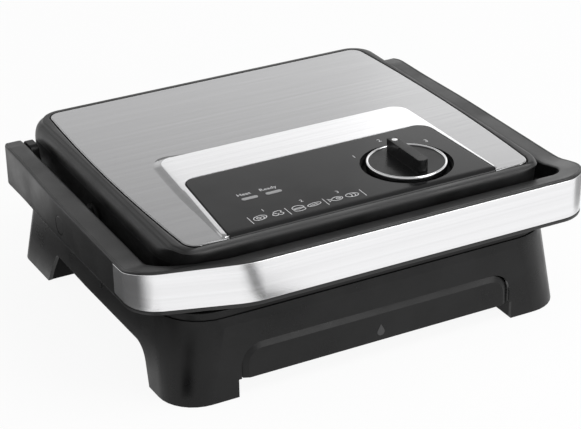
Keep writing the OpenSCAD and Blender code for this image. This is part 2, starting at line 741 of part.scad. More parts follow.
module control_panel() color("#3a3a3d") difference() {
    slab(panel_outline(0), deck_top, panel_z);
    translate([knob_x, knob_y, deck_top - 1]) cylinder(r = well_r, h = 5);
    for (x = lens_x) block(x - lens_l / 2, x + lens_l / 2, lens_y - lens_w / 2, lens_y + lens_w / 2,
                           deck_top - 1, panel_z + 1);
}

module lid_liner() color("#1a1a1c") difference() {
    slab(lid_outline(wall + 1.7), lid_z + 0.5, lid_z + 3);
    slab(box_outline(plate_w + 2, plate_y - plate_d / 2 - 1, plate_y + plate_d / 2 + 1, 11, 11),
         lid_z, lid_z + 4);
    both_sides() rod_x(boss_r + 2, lid_w / 2 - 9, lid_w / 2 + 3, pivot_y, pivot_z);
}

module upper_grill_plate() color("#2e2e30") difference() {
    grill_plate(upper_bottom, -1);
    for (p = plate_screw_xy) translate([p[0], p[1], upper_slab_z - 3]) cylinder(r = 1.6, h = 10);
}

upper_shield_z = upper_slab_z + 2 * tube_r;

module upper_element() color("#777777") element(upper_slab_z + tube_r);

module upper_heat_shield() color("silver") heat_shield(upper_shield_z);

module upper_plate_screws() color("silver") for (p = plate_screw_xy) translate([p[0], p[1], 0]) {
    translate([0, 0, upper_slab_z - 3]) cylinder(r = 1.5, h = upper_shield_z - upper_slab_z + 5);
    difference() {
        translate([0, 0, upper_shield_z + shield_t])
            cylinder(r = 4, h = deck_top - wall - 0.2 - upper_shield_z - shield_t);
        translate([0, 0, upper_shield_z]) cylinder(r = 1.9, h = 6);
    }
}

module pivot_bushes() color("#1e1e20") both_sides() difference() {
    rod_x(bush_r, lid_w / 2 - 8, lid_w / 2 + 3, pivot_y, pivot_z);
    rod_x(pin_r + pin_c, lid_w / 2 - 9, lid_w / 2 + 4, pivot_y, pivot_z);
}

module dial_well() color("#0e0e0f") translate([knob_x, knob_y, 0]) difference() {
    translate([0, 0, well_floor - 1.5]) cylinder(r = well_r + 1.6, h = deck_top - well_floor + 1.5, $fn = 96);
    translate([0, 0, well_floor]) cylinder(r = well_r, h = 10, $fn = 96);
    translate([0, 0, well_floor - 3]) cylinder(r = shaft_r + 0.4, h = 6);
}

thermo_top = well_floor - 1.5 - 1.2;

module thermostat() color("#d9d5c8") translate([knob_x, knob_y, 0]) difference() {
    translate([0, 0, upper_shield_z + shield_t]) cylinder(r = 12, h = thermo_top - upper_shield_z - shield_t);
    translate([0, 0, thermo_top - 6]) cylinder(r = shaft_r + 0.05, h = 10);
}

module thermostat_bracket() color("silver") difference() {
    block(knob_x - 24, knob_x + 24, knob_y - 7, knob_y + 7, thermo_top, thermo_top + 1.2);
    translate([knob_x, knob_y, thermo_top - 1]) cylinder(r = shaft_r + 0.5, h = 4);
}

module indicator_lenses() color("#c8c8ca") for (x = lens_x)
    slab(rounded([[x - lens_l / 2, lens_y - lens_w / 2], [x + lens_l / 2, lens_y - lens_w / 2],
                  [x + lens_l / 2, lens_y + lens_w / 2], [x - lens_l / 2, lens_y + lens_w / 2]],
                 [1.6, 1.6, 1.6, 1.6]), deck_top - wall, panel_z + 0.3);

module indicator_board() color("#2c6e49") {
    board_z = deck_top - wall - 0.2 - 3.6;
    block(lens_x[0] - 10, lens_x[1] + 10, lens_y - 8, lens_y + 8, board_z, board_z + 1.6);
    for (x = lens_x) translate([x, lens_y, board_z + 1.6]) cylinder(r = 1.5, h = 2);
    for (x = [lens_x[0] - 8, lens_x[1] + 8]) translate([x, lens_y, board_z + 1.6]) cylinder(r = 2, h = 2);
}

// ---- knob -----------------------------------------------------------------------------------

face_z = ring_z - 1;

module knob_body() color("#1b1b1d") translate([knob_x, knob_y, 0]) difference() {
    union() {
        translate([0, 0, well_floor + 1.5])
            cylinder(r = ring_d / 2 - ring_w, h = face_z - well_floor - 1.5, $fn = 96);
        block(-grip_w / 2, grip_w / 2, -grip_l / 2 + 2.5, grip_l / 2, face_z - 0.2, knob_top_z);
        translate([0, -grip_l / 2 + 2.5, face_z - 0.2]) intersection() {
            cylinder(r = grip_w / 2 + 1.2, h = knob_top_z - face_z + 0.2);
            translate([-grip_w / 2, -10, -1]) cube([grip_w, 20, 40]);
        }
    }
    translate([0, 0, well_floor]) cylinder(r = shaft_r + 0.02, h = 5.5);
    translate([0, grip_l / 2 - 4.5, knob_top_z - 0.6]) cylinder(r = 1.6, h = 2);
}

module knob_ring() color("#e6e6e8") translate([knob_x, knob_y, 0]) difference() {
    translate([0, 0, well_floor + 1.5]) cylinder(r = ring_d / 2, h = ring_z - well_floor - 1.5, $fn = 96);
    translate([0, 0, well_floor + 1]) cylinder(r = ring_d / 2 - ring_w, h = 20, $fn = 96);
}

module knob_dot() color("white") translate([knob_x, knob_y + grip_l / 2 - 4.5, knob_top_z - 0.6])
    cylinder(r = 1.6, h = 0.6);

module thermostat_shaft() color("silver") translate([knob_x, knob_y, thermo_top - 5.5])
    cylinder(r = shaft_r, h = well_floor + 5.3 - thermo_top + 5.5);

base_housing();
foot_shells();
base_deck();
leg_linings();
base_collar();
base_side_covers();
foot_pads();
foot_screws();
lower_grill_plate();
lower_element();
lower_heat_shield();
lower_plate_screws();
grease_chute();
tray_rails();
terminal_block();
cord_gland();
hinge_brackets();
hinge_covers();
hinge_screws();
hinge_pins();
drip_tray();
drawer_front();
handle_frame();
handle_underside();
handle_band();
arm_straps();
pivot_pins();
pivot_caps();
handle_screws();
lid_housing();
lid_top_plate();
control_panel();
lid_liner();
upper_grill_plate();
upper_element();
upper_heat_shield();
upper_plate_screws();
pivot_bushes();
dial_well();
thermostat();
thermostat_bracket();
indicator_lenses();
indicator_board();
knob_body();
knob_ring();
knob_dot();
thermostat_shaft();
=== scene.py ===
"""The electric contact grill: its looks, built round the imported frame."""
import math

import bmesh
import bpy
import numpy as np
from bpy.props import FloatProperty, FloatVectorProperty, IntProperty, PointerProperty
from bpy.types import Operator, Panel, PropertyGroup
from mathutils import Matrix, Vector


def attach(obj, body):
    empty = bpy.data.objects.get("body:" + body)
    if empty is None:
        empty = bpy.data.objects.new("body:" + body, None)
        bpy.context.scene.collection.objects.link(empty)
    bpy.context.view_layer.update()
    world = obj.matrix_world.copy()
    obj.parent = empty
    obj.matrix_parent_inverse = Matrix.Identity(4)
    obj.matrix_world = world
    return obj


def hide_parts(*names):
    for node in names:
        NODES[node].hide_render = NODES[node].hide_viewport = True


bl_info = {
    "name": "Contact grill",
    "version": (1, 0, 0),
    "blender": (4, 5, 0),
    "location": "View3D > Sidebar > Grill",
    "description": "Builds the looks of an electric contact grill on its frame",
    "category": "Object",
}

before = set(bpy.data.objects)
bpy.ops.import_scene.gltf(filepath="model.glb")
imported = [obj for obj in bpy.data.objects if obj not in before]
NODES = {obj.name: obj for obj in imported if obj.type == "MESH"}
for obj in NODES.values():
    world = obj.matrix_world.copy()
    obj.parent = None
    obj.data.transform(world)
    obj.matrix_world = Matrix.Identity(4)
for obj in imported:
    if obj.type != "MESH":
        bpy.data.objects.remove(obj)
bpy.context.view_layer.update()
MM = 0.001


# ---- outlines, in millimetres ------------------------------------------------------------------

def unit(v):
    """A direction of length one."""
    return v / np.hypot(*v)


def corner_arc(a, b, c, r, n):
    """The arc that rounds the corner b between a and c."""
    a, b, c = (np.array(p, float) for p in (a, b, c))
    if r <= 0:
        return [b]
    u, v = unit(a - b), unit(c - b)
    half = math.acos(np.clip(u @ v, -1, 1)) / 2
    o = b + unit(u + v) * r / math.sin(half)
    s, e = b + u * r / math.tan(half) - o, b + v * r / math.tan(half) - o
    a0 = math.atan2(s[1], s[0])
    turn = (math.atan2(e[1], e[0]) - a0 + 3 * math.pi) % (2 * math.pi) - math.pi
    return [o + r * np.array([math.cos(a0 + turn * i / n), math.sin(a0 + turn * i / n)])
            for i in range(n + 1)]


def rounded(points, radii, n=12):
    """A closed outline through the points, with its corners rounded."""
    k = len(points)
    return np.array([q for i in range(k)
                     for q in corner_arc(points[i - 1], points[i], points[(i + 1) % k], radii[i], n)])


def box_outline(x0, x1, y0, y1, r, n=12):
    """A rectangle with rounded corners."""
    return rounded([[x0, y0], [x1, y0], [x1, y1], [x0, y1]], [r] * 4, n)


# Where points lie along a side: evenly, or close together at its start
EVEN = [i / 8 for i in range(1, 8)]
CLOSE = [0.018, 0.036, 0.056, 0.085, 0.14, 0.3, 0.58]


def plate_outline(w, y0, y1, rf, rr, bow=0.0):
    """A plate seen from above, its sides bowed out, with the same count of points for any size."""
    h = w / 2 - bow
    right = [[w / 2 - bow * (2 * t - 1) ** 2, y0 + (y1 - y0) * t] for t in EVEN]
    left = [[-x, y] for x, y in reversed(right)]
    front = [[-h + 2 * h * t, y0] for t in EVEN]
    back = [[h - 2 * h * t, y1] for t in EVEN]
    flat = [0] * len(EVEN)
    return rounded([[-h, y0]] + front + [[h, y0]] + right + [[h, y1]] + back + [[-h, y1]] + left,
                   [rf] + flat + [rf] + flat + [rr] + flat + [rr] + flat)


def four_sided(points, radii):
    """A four-sided outline with as many points as plate_outline, close together at the front."""
    pts, rs = [], []
    for k, ts in enumerate((EVEN, CLOSE, EVEN, [1 - t for t in reversed(CLOSE)])):
        a, b = np.array(points[k], float), np.array(points[(k + 1) % 4], float)
        pts += [a] + [a + (b - a) * t for t in ts]
        rs += [radii[k]] + [0] * len(ts)
    return rounded(pts, rs)


def at(outline, z):
    """An outline lifted to the height z, one for all points or one for each."""
    return np.column_stack([outline, np.broadcast_to(np.asarray(z, float), len(outline))])


def ring_z(x, y, r, z, n=96):
    """A level circle."""
    a = np.linspace(0, 2 * math.pi, n, endpoint=False)
    return np.column_stack([x + r * np.cos(a), y + r * np.sin(a), np.full(n, float(z))])


def ring_x(y, z, r, x, n=48):
    """A circle round a level axis along X."""
    a = np.linspace(0, 2 * math.pi, n, endpoint=False)
    return np.column_stack([np.full(n, float(x)), y + r * np.cos(a), z + r * np.sin(a)])


# ---- meshes ------------------------------------------------------------------------------------

def loft(rings, caps=True):
    """Quads between closed rings of equal length, with flat caps at the two ends."""
    n = len(rings[0])
    verts = [tuple(p) for ring in rings for p in ring]
    faces = [(k * n + i, k * n + (i + 1) % n, (k + 1) * n + (i + 1) % n, (k + 1) * n + i)
             for k in range(len(rings) - 1) for i in range(n)]
    if caps:
        faces += [tuple(range(n - 1, -1, -1)), tuple((len(rings) - 1) * n + i for i in range(n))]
    return verts, faces


def joined(*parts):
    """Several shapes as one."""
    verts, faces = [], []
    for v, f in parts:
        k = len(verts)
        verts += v
        faces += [tuple(i + k for i in q) for q in f]
    return verts, faces


def shade(mesh, angle=35):
    """Smooth shading, broken at edges sharper than the angle in degrees."""
    for p in mesh.polygons:
        p.use_smooth = True
    mesh.set_sharp_from_angle(angle=math.radians(angle))


def settle(obj, body, replaces=()):
    """Gives a finished piece its body and the nodes that it stands for."""
    if not obj.data.polygons:
        raise RuntimeError(obj.name + " has no faces")
    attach(obj, body)
    if replaces:
        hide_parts(*replaces)
    return obj


def placed(name, data):
    """A new object in the scene."""
    obj = bpy.data.objects.new(name, data)
    bpy.context.collection.objects.link(obj)
    return obj


def evaluated(obj):
    """Turns an object and its modifiers into a plain mesh object of the same name."""
    dg = bpy.context.evaluated_depsgraph_get()
    mesh = bpy.data.meshes.new_from_object(obj.evaluated_get(dg), preserve_all_data_layers=True, depsgraph=dg)
    obj.modifiers.clear()
    old, obj.data = obj.data, mesh
    bpy.data.meshes.remove(old)
    return obj


def combined(obj, other, operation):
    """Joins another solid to this one, or cuts it out, and removes the other."""
    m = obj.modifiers.new("combined", "BOOLEAN")
    m.operation, m.solver, m.object = operation, "EXACT", other
    evaluated(obj)
    bpy.data.objects.remove(other)


def new_piece(name, shape, materials, angle=35, pick=None):
    """A mesh object from a shape in millimetres. pick chooses a material number for a face."""
    verts, faces = shape
    mesh = bpy.data.meshes.new(name)
    mesh.from_pydata([tuple(c * MM for c in v) for v in verts], [], faces)
    bm = bmesh.new()
    bm.from_mesh(mesh)
    bmesh.ops.remove_doubles(bm, verts=bm.verts, dist=1e-6)
    bmesh.ops.recalc_face_normals(bm, faces=bm.faces)
    for m in materials:
        mesh.materials.append(m)
    if pick:
        for f in bm.faces:
            f.material_index = pick(f)
    bm.to_mesh(mesh)
    bm.free()
    shade(mesh, angle)
    return placed(name, mesh)


def cleaned(mesh):
    """A mesh opened for editing, its doubles merged and its flat triangles joined."""
    bm = bmesh.new()
    bm.from_mesh(mesh)
    bmesh.ops.remove_doubles(bm, verts=bm.verts, dist=2e-6)
    bmesh.ops.dissolve_limit(bm, angle_limit=math.radians(0.4), verts=bm.verts, edges=bm.edges)
    return bm


def closed_mesh(name, bm):
    """A new mesh from an edited one, which is closed."""
    mesh = bpy.data.meshes.new(name)
    bm.to_mesh(mesh)
    bm.free()
    return mesh


def solid_copy(nodes):
    """The solids of some nodes as one closed mesh object."""
    first, *others = [placed("solid", closed_mesh("solid", cleaned(NODES[node].data))) for node in nodes]
    for other in others:
        combined(first, other, "UNION")
    return first


def softened(name, nodes, width, material, crease=28, where=None):
    """A copy of the nodes' solids with sharp edges rounded by the given width in millimetres."""
    solid = solid_copy(nodes)
    bm = cleaned(solid.data)
    bpy.data.objects.remove(solid)
    edges = [e for e in bm.edges if len(e.link_faces) == 2 and e.calc_face_angle() > math.radians(crease)
             and (where is None or where(e))]
    bmesh.ops.bevel(bm, geom=edges, offset=width * MM, offset_type="OFFSET", profile=0.5, affect="EDGES",
                    segments=bpy.context.scene.grill_sizes.segments, clamp_overlap=True)
    bmesh.ops.triangulate(bm, faces=[f for f in bm.faces if len(f.verts) > 4])
    mesh = closed_mesh(name, bm)
    mesh.materials.append(material)
    shade(mesh, 40)
    return placed(name, mesh)


# ---- nodes -------------------------------------------------------------------------------------

def group_io(tree, ins, outs):
    """Names a tree's inputs and outputs, and gives its two end nodes."""
    for name, kind, value in ins:
        socket = tree.interface.new_socket(name=name, in_out="INPUT", socket_type=kind)
        if value is not None:
            socket.default_value = value
    for name, kind in outs:
        tree.interface.new_socket(name=name, in_out="OUTPUT", socket_type=kind)
    return tree.nodes.new("NodeGroupInput"), tree.nodes.new("NodeGroupOutput")


def add(tree, kind, **values):
    """A new node with its settings."""
    node = tree.nodes.new(kind)
    for key, value in values.items():
        setattr(node, key, value)
    return node


def wire(tree, *pairs):
    """Links each output to its input, in order."""
    for a, b in pairs:
        tree.links.new(a, b)


def feed(tree, node, values):
    """Sets a node's inputs, by name or number, to values or to other nodes' outputs."""
    for key, value in values.items():
        if isinstance(value, bpy.types.NodeSocket):
            tree.links.new(value, node.inputs[key])
        else:
            node.inputs[key].default_value = value
    return node


def maths(tree, operation, *values):
    """The result of a Math node."""
    return feed(tree, add(tree, "ShaderNodeMath", operation=operation), dict(enumerate(values))).outputs[0]


def ranged(tree, value, start, stop, low, high, kind="LINEAR"):
    """A number that goes from low to high as the value goes from start to stop."""
    node = add(tree, "ShaderNodeMapRange", interpolation_type=kind)
    return feed(tree, node, {"From Min": start, "From Max": stop, "To Min": low, "To Max": high,
                             "Value": value}).outputs["Result"]


# ---- repeats, made with Geometry Nodes -----------------------------------------------------------

def geometry_tree(name, ins):
    """A new tree with a Geometry input, the named inputs and a Geometry output."""
    tree = bpy.data.node_groups.new(name, "GeometryNodeTree")
    i, o = group_io(tree, [("Geometry", "NodeSocketGeometry", None)] + ins, [("Geometry", "NodeSocketGeometry")])
    return tree, i.outputs, o.inputs["Geometry"]


def repeated(tree, points, shape, finish, out, turn=None):
    """Ends a tree: the shape on every point, as plain faces with their finish."""
    put = feed(tree, add(tree, "GeometryNodeInstanceOnPoints"), {"Points": points, "Instance": shape})
    if turn:
        tree.links.new(turn, put.inputs["Rotation"])
    real = feed(tree, add(tree, "GeometryNodeRealizeInstances"), {"Geometry": put.outputs["Instances"]})
    done = feed(tree, add(tree, "GeometryNodeSetMaterial"), {"Geometry": real.outputs["Geometry"],
                                                             "Material": finish})
    tree.links.new(done.outputs["Geometry"], out)


def rib_row_tree():
    """Repeats one rib Count times, each Step further on."""
    tree, g, out = geometry_tree("rib_row", [("Count", "NodeSocketInt", 21),
                                             ("Step", "NodeSocketVector", (0.011, 0, 0)),
                                             ("Finish", "NodeSocketMaterial", None)])
    line = feed(tree, add(tree, "GeometryNodeMeshLine", mode="OFFSET"), {"Count": g["Count"], "Offset": g["Step"]})
    repeated(tree, line.outputs["Mesh"], g["Geometry"], g["Finish"], out)
    return tree


def screws_tree():
    """Puts a pan-head screw with a cross recess on each point, its head's underside at the point."""
    tree, g, out = geometry_tree("screws", [
        ("Head radius", "NodeSocketFloat", 0.003), ("Head height", "NodeSocketFloat", 0.0014),
        ("Shaft radius", "NodeSocketFloat", 0.0015), ("Shaft length", "NodeSocketFloat", 0.02),
        ("Recess depth", "NodeSocketFloat", 0.0008), ("Turn", "NodeSocketVector", (0.0, 0.0, 0.0)),
        ("Finish", "NodeSocketMaterial", None)])

    def times(name, factor):
        return maths(tree, "MULTIPLY", g[name], factor)

    def vector(x=0.0, y=0.0, z=0.0):
        return feed(tree, add(tree, "ShaderNodeCombineXYZ"), {0: x, 1: y, 2: z}).outputs[0]

    def lifted(geometry, height):
        return feed(tree, add(tree, "GeometryNodeTransform"),
                    {"Geometry": geometry, "Translation": vector(z=height)}).outputs["Geometry"]

    def rod(part, length, sides):
        return feed(tree, add(tree, "GeometryNodeMeshCylinder"),
                    {"Vertices": sides, "Radius": g[part + " radius"], "Depth": g[length]}).outputs["Mesh"]

    head = lifted(rod("Head", "Head height", 32), times("Head height", 0.5))
    shaft = lifted(rod("Shaft", "Shaft length", 16), times("Shaft length", -0.4999))
    slots = add(tree, "GeometryNodeJoinGeometry")
    long, thin, deep = times("Head radius", 1.1), times("Head radius", 0.24), times("Recess depth", 2.0)
    for size in (vector(long, thin, deep), vector(thin, long, deep)):
        cube = feed(tree, add(tree, "GeometryNodeMeshCube"), {"Size": size})
        tree.links.new(lifted(cube.outputs["Mesh"], g["Head height"]), slots.inputs["Geometry"])
    recess = feed(tree, add(tree, "GeometryNodeMeshBoolean", operation="DIFFERENCE"),
                  {"Mesh 1": head, "Mesh 2": slots.outputs["Geometry"]})
    whole = add(tree, "GeometryNodeJoinGeometry")
    wire(tree, (recess.outputs["Mesh"], whole.inputs["Geometry"]), (shaft, whole.inputs["Geometry"]))
    repeated(tree, g["Geometry"], whole.outputs["Geometry"], g["Finish"], out, g["Turn"])
    return tree


TREES = {}


def grown(obj, kind, **values):
    """Runs one of the trees on an object and leaves the result as its plain mesh."""
    if kind not in TREES:
        TREES[kind] = {"rib_row": rib_row_tree, "screws": screws_tree}[kind]()
    m = obj.modifiers.new(kind, "NODES")
    m.node_group = TREES[kind]
    for item in TREES[kind].interface.items_tree:
        key = item.name.replace(" ", "_").lower()
        if item.in_out == "INPUT" and key in values:
            m[item.identifier] = values[key]
    evaluated(obj)
    shade(obj.data, 40)
    return obj


def screw_piece(name, points, head, shaft, down, body, node):
    """Screws whose heads' undersides lie at the given points, all in millimetres."""
    mesh = bpy.data.meshes.new(name)
    mesh.from_pydata([tuple(c * MM for c in q) for q in points], [], [])
    obj = grown(placed(name, mesh), "screws", head_radius=head[0] * MM, head_height=head[1] * MM,
                shaft_radius=shaft[0] * MM, shaft_length=shaft[1] * MM, recess_depth=head[1] * 0.6 * MM,
                turn=(math.pi if down else 0.0, 0.0, 0.0), finish=MATERIALS["zinc_steel"])
    return settle(obj, body, (node,))


# ---- materials ---------------------------------------------------------------------------------

def fine_grain_group():
    """Moulded or coated grain: a height for bump and a slow mottle for tone and roughness."""
    g = bpy.data.node_groups.new("fine_grain", "ShaderNodeTree")
    i, o = group_io(g, [("Grain size", "NodeSocketFloat", 0.8), ("Mottle size", "NodeSocketFloat", 40.0)],
                    [("Height", "NodeSocketFloat"), ("Mottle", "NodeSocketFloat")])
    place = add(g, "ShaderNodeTexCoord").outputs["Object"]
    for size, out, detail in (("Grain size", "Height", 3.0), ("Mottle size", "Mottle", 4.0)):
        noise = feed(g, add(g, "ShaderNodeTexNoise"),
                     {"Detail": detail, "Roughness": 0.6, "Vector": place,
                      "Scale": maths(g, "DIVIDE", 1 / MM, i.outputs[size])})
        g.links.new(noise.outputs["Fac"], o.inputs[out])
    return g


def brushed_group():
    """Brushed lines: fine scratches drawn out along one direction, with broader soft bands."""
    g = bpy.data.node_groups.new("brushed_lines", "ShaderNodeTree")
    i, o = group_io(g, [("Stretch", "NodeSocketVector", (20.0, 2500.0, 2500.0))],
                    [("Lines", "NodeSocketFloat"), ("Bands", "NodeSocketFloat")])
    place = add(g, "ShaderNodeTexCoord").outputs["Object"]
    for part, out, detail in ((1.0, "Lines", 4.0), (0.12, "Bands", 3.0)):
        grow = feed(g, add(g, "ShaderNodeVectorMath", operation="SCALE"), {0: i.outputs["Stretch"], "Scale": part})
        times = feed(g, add(g, "ShaderNodeVectorMath", operation="MULTIPLY"), {0: place, 1: grow.outputs[0]})
        noise = feed(g, add(g, "ShaderNodeTexNoise"),
                     {"Scale": 1.0, "Detail": detail, "Roughness": 0.65, "Vector": times.outputs[0]})
        g.links.new(noise.outputs["Fac"], o.inputs[out])
    return g


GROUPS = {}


def group(name):
    """A shared shader group, built when it is first asked for."""
    if name not in GROUPS:
        GROUPS[name] = {"fine_grain": fine_grain_group, "brushed_lines": brushed_group}[name]()
    return GROUPS[name]


def toned(tree, fac, color, vary, start=0.35, stop=0.65):
    """A colour that goes from a little darker to a little lighter with fac."""
    ramp = add(tree, "ShaderNodeValToRGB")
    for stop_k, place, k in zip(ramp.color_ramp.elements, (start, stop), (1 - vary, 1 + vary)):
        stop_k.position = place
        stop_k.color = (*(min(c * k, 1) for c in color), 1)
    tree.links.new(fac, ramp.inputs["Fac"])
    return ramp.outputs["Color"]


def bumped(tree, height, strength, distance):
    """A normal roughened by a height."""
    return feed(tree, add(tree, "ShaderNodeBump"),
                {"Strength": strength, "Distance": distance, "Height": height}).outputs["Normal"]


def new_material(name):
    """A material, its tree and its main shader."""
    m = bpy.data.materials.new(name)
    m.use_nodes = True
    return m, m.node_tree, m.node_tree.nodes["Principled BSDF"]


def grained(name, color, rough, grain=0.7, mottle=35.0, bump=0.12, vary=0.25, spread=0.07,
            metallic=0.0, specular=0.5):
    """A plain finish with grain: moulded plastic, rubber, coating, casting or plated steel."""
    m, t, p = new_material(name)
    g = feed(t, add(t, "ShaderNodeGroup", node_tree=group("fine_grain")),
             {"Grain size": grain, "Mottle size": mottle}).outputs
    feed(t, p, {"Base Color": toned(t, g["Mottle"], color, vary),
                "Roughness": ranged(t, g["Mottle"], 0.35, 0.65, rough - spread, rough + spread),
                "Normal": bumped(t, g["Height"], bump, 0.2 * MM),
                "Metallic": metallic, "Specular IOR Level": specular})
    return m


def brushed(name, color, rough, stretch, bump=0.05, vary=0.035, spread=0.04):
    """Brushed steel, its lines drawn out along the direction with the smallest stretch."""
    m, t, p = new_material(name)
    g = feed(t, add(t, "ShaderNodeGroup", node_tree=group("brushed_lines")), {"Stretch": stretch}).outputs
    feed(t, p, {"Base Color": toned(t, g["Bands"], color, vary, 0.3, 0.7),
                "Roughness": ranged(t, g["Lines"], 0.3, 0.7, rough - spread, rough + spread),
                "Normal": bumped(t, g["Lines"], bump, 0.1 * MM), "Metallic": 1.0})
    return m


def scaled(color, factor, most=1.0):
    """A lighter or darker colour."""
    return tuple(min(c * factor, most) for c in color)


MATERIALS = {}


def make_materials(looks):
    """All finishes of the grill, by name."""
    black, panel, steel = tuple(looks.black_plastic), tuple(looks.panel), tuple(looks.steel)
    along, round_band = (14.0, 2600.0, 2600.0), (14.0, 14.0, 3200.0)
    for name, color, rough, more in (
            ("shell_plastic", scaled(black, 0.75), 0.33, dict(grain=0.6, bump=0.10, specular=0.24)),
            ("handle_plastic", black, 0.38, dict(grain=0.6, bump=0.10)),
            ("lid_plastic", black, 0.36, dict(grain=0.6, bump=0.08, specular=0.45)),
            # A darker, duller copy of the black plastic for parts inside, in recesses and in the gap beside the
            # arms: painted shade.
            ("hidden_plastic", scaled(black, 0.6), 0.5, dict(grain=0.9, bump=0.15, specular=0.12)),
            ("panel_gloss", panel, 0.16, dict(grain=0.4, bump=0.01, vary=0.05, spread=0.03, specular=0.22)),
            ("knob_plastic", scaled(panel, 0.6), 0.3, dict(grain=0.5, bump=0.05, vary=0.08, specular=0.22)),
            ("ring_chrome", (0.82, 0.82, 0.83), 0.14,
             dict(grain=0.5, bump=0.01, vary=0.02, spread=0.02, metallic=1.0)),
            ("plate_coating", (0.03, 0.03, 0.032), 0.42, dict(grain=0.35, bump=0.3, spread=0.1)),
            ("element_steel", (0.26, 0.23, 0.21), 0.45, dict(grain=0.5, mottle=12, metallic=1.0)),
            ("zinc_steel", (0.62, 0.63, 0.64), 0.32, dict(grain=0.4, mottle=8, metallic=1.0, vary=0.12)),
            ("pad_rubber", (0.035, 0.035, 0.035), 0.75, dict(grain=0.5, bump=0.3)),
            ("white_plastic", (0.8, 0.79, 0.75), 0.4, dict(grain=0.6, vary=0.04)),
            ("lens_plastic", (0.3, 0.3, 0.305), 0.3, dict(grain=0.4, vary=0.06)),
            ("print_grey", (0.62, 0.62, 0.63), 0.5, dict(grain=0.4, vary=0.06)),
            ("board_green", (0.03, 0.15, 0.06), 0.4, dict(grain=0.3, vary=0.2)),
            ("mark_grey", (0.035, 0.035, 0.036), 0.45, dict(grain=0.5, vary=0.08)),
            ("dot_white", (0.85, 0.85, 0.86), 0.4, dict(grain=0.4, vary=0.03))):
        MATERIALS[name] = grained(name, color, rough, **more)
    for name, color, rough, stretch, more in (
            ("top_steel", steel, 0.22, along, {}),
            # The raised field's steel is the top's steel made lighter: painted highlight.
            ("field_steel", scaled(steel, 1.95, 0.95), 0.22, along, {}),
            # The field's rear edge is the top's steel made much darker: a painted shade line at the step.
            ("edge_steel", scaled(steel, 0.3), 0.35, along, {}),
            # The band's steel is the top's steel made lighter: painted highlight.
            ("band_steel", scaled(steel, 1.97, 0.95), 0.2, round_band, dict(bump=0.08))):
        MATERIALS[name] = brushed(name, color, rough, stretch, **more)


# Parts inside the grill and in its recesses take the darker, duller plastic as painted shade.
CARRIED = {
    "base_side_covers": "hidden_plastic", "lower_element": "element_steel",
    "lower_heat_shield": "zinc_steel", "lower_plate_screws": "zinc_steel", "grease_chute": "plate_coating",
    "tray_rails": "hidden_plastic", "terminal_block": "white_plastic", "cord_gland": "pad_rubber",
    "hinge_brackets": "zinc_steel", "hinge_pins": "zinc_steel",
    "handle_underside": "hidden_plastic", "arm_straps": "zinc_steel", "pivot_pins": "zinc_steel",
    "lid_liner": "hidden_plastic", "upper_element": "element_steel",
    "upper_heat_shield": "zinc_steel", "upper_plate_screws": "zinc_steel", "pivot_bushes": "hidden_plastic",
    "dial_well": "hidden_plastic", "thermostat": "white_plastic", "thermostat_bracket": "zinc_steel",
    "indicator_board": "board_green", "thermostat_shaft": "zinc_steel", "pivot_caps": "handle_plastic",
    "indicator_lenses": "lens_plastic", "base_deck": "hidden_plastic",
    "leg_linings": "hidden_plastic",
}


# ---- sizes and colours that a user would change --------------------------------------------------

class GrillLooks(PropertyGroup):
    black_plastic: FloatVectorProperty(name="Black plastic", description="Colour of the moulded shells",
                                       default=(0.009, 0.009, 0.0092), size=3, subtype="COLOR", min=0, max=1)
    panel: FloatVectorProperty(name="Panel", description="Colour of the control panel and knob",
                               default=(0.010, 0.010, 0.0103), size=3, subtype="COLOR", min=0, max=1)
    steel: FloatVectorProperty(name="Steel", description="Colour of the brushed steel",
                               default=(0.45, 0.45, 0.455), size=3, subtype="COLOR", min=0, max=1)
    floor: FloatVectorProperty(name="Floor", description="Colour of the floor and backdrop",
                               default=(0.9, 0.9, 0.9), size=3, subtype="COLOR", min=0, max=1)
    floor_glow: FloatProperty(name="Floor white", description="How much of the floor shows as plain white",
                              default=0.92, min=0, max=1, subtype="FACTOR")
    room_light: FloatProperty(name="Room light", description="Strength of the light from all round",
                              default=0.45, min=0, max=2)
    horizon_light: FloatProperty(name="Horizon light",
                                 description="Added strength of the light near the horizon",
                                 default=1.05, min=0, max=2)


class GrillSizes(PropertyGroup):
    edge: FloatProperty(name="Edge rounding", description="Rounding of the base's moulded edges, in millimetres",
                        default=0.7, min=0.05, max=2.0)
    segments: IntProperty(name="Rounding segments", description="Faces across a rounded edge",
                          default=2, min=1, max=4)


# ---- pieces --------------------------------------------------------------------------------------

def even_normals(obj):
    """Gives flat faces beside rounded edges one plain normal each."""
    w = obj.modifiers.new("even_normals", "WEIGHTED_NORMAL")
    w.keep_sharp = True
    return evaluated(obj)


def cut(obj, *cutters):
    """Cuts the cutters' shapes, given in millimetres, out of an object."""
    for shape in cutters:
        combined(obj, new_piece("cutter", shape, []), "DIFFERENCE")
    shade(obj.data)
    return obj


def merge(obj, other):
    """Adds another object's faces to an object that has the same finish."""
    bm = bmesh.new()
    bm.from_mesh(obj.data)
    bm.from_mesh(other.data)
    bm.to_mesh(obj.data)
    bm.free()
    bpy.data.objects.remove(other)
    shade(obj.data, 40)
    return obj


def shell_from(name, nodes, body, slot_name, material, width, **more):
    """A softened copy of some nodes that stands for them."""
    return settle(even_normals(softened(name, nodes, width, MATERIALS[material], **more)),
                  body, nodes)


def lathe_z(x, y, profile, n=96):
    """Turns a profile of radius and height round an upright axis."""
    return loft([ring_z(x, y, r, z, n) for r, z in profile])


def lathe_x(y, z, profile):
    """Turns a profile of radius and place along X round a level axis."""
    return loft([ring_x(y, z, r, x) for r, x in profile])


def pipe_x(y, z, r0, r1, x0, x1):
    """A sleeve round a level axis."""
    return loft([ring_x(y, z, r, x) for r, x in ((r0, x0), (r1, x0), (r1, x1), (r0, x1), (r0, x0))], caps=False)


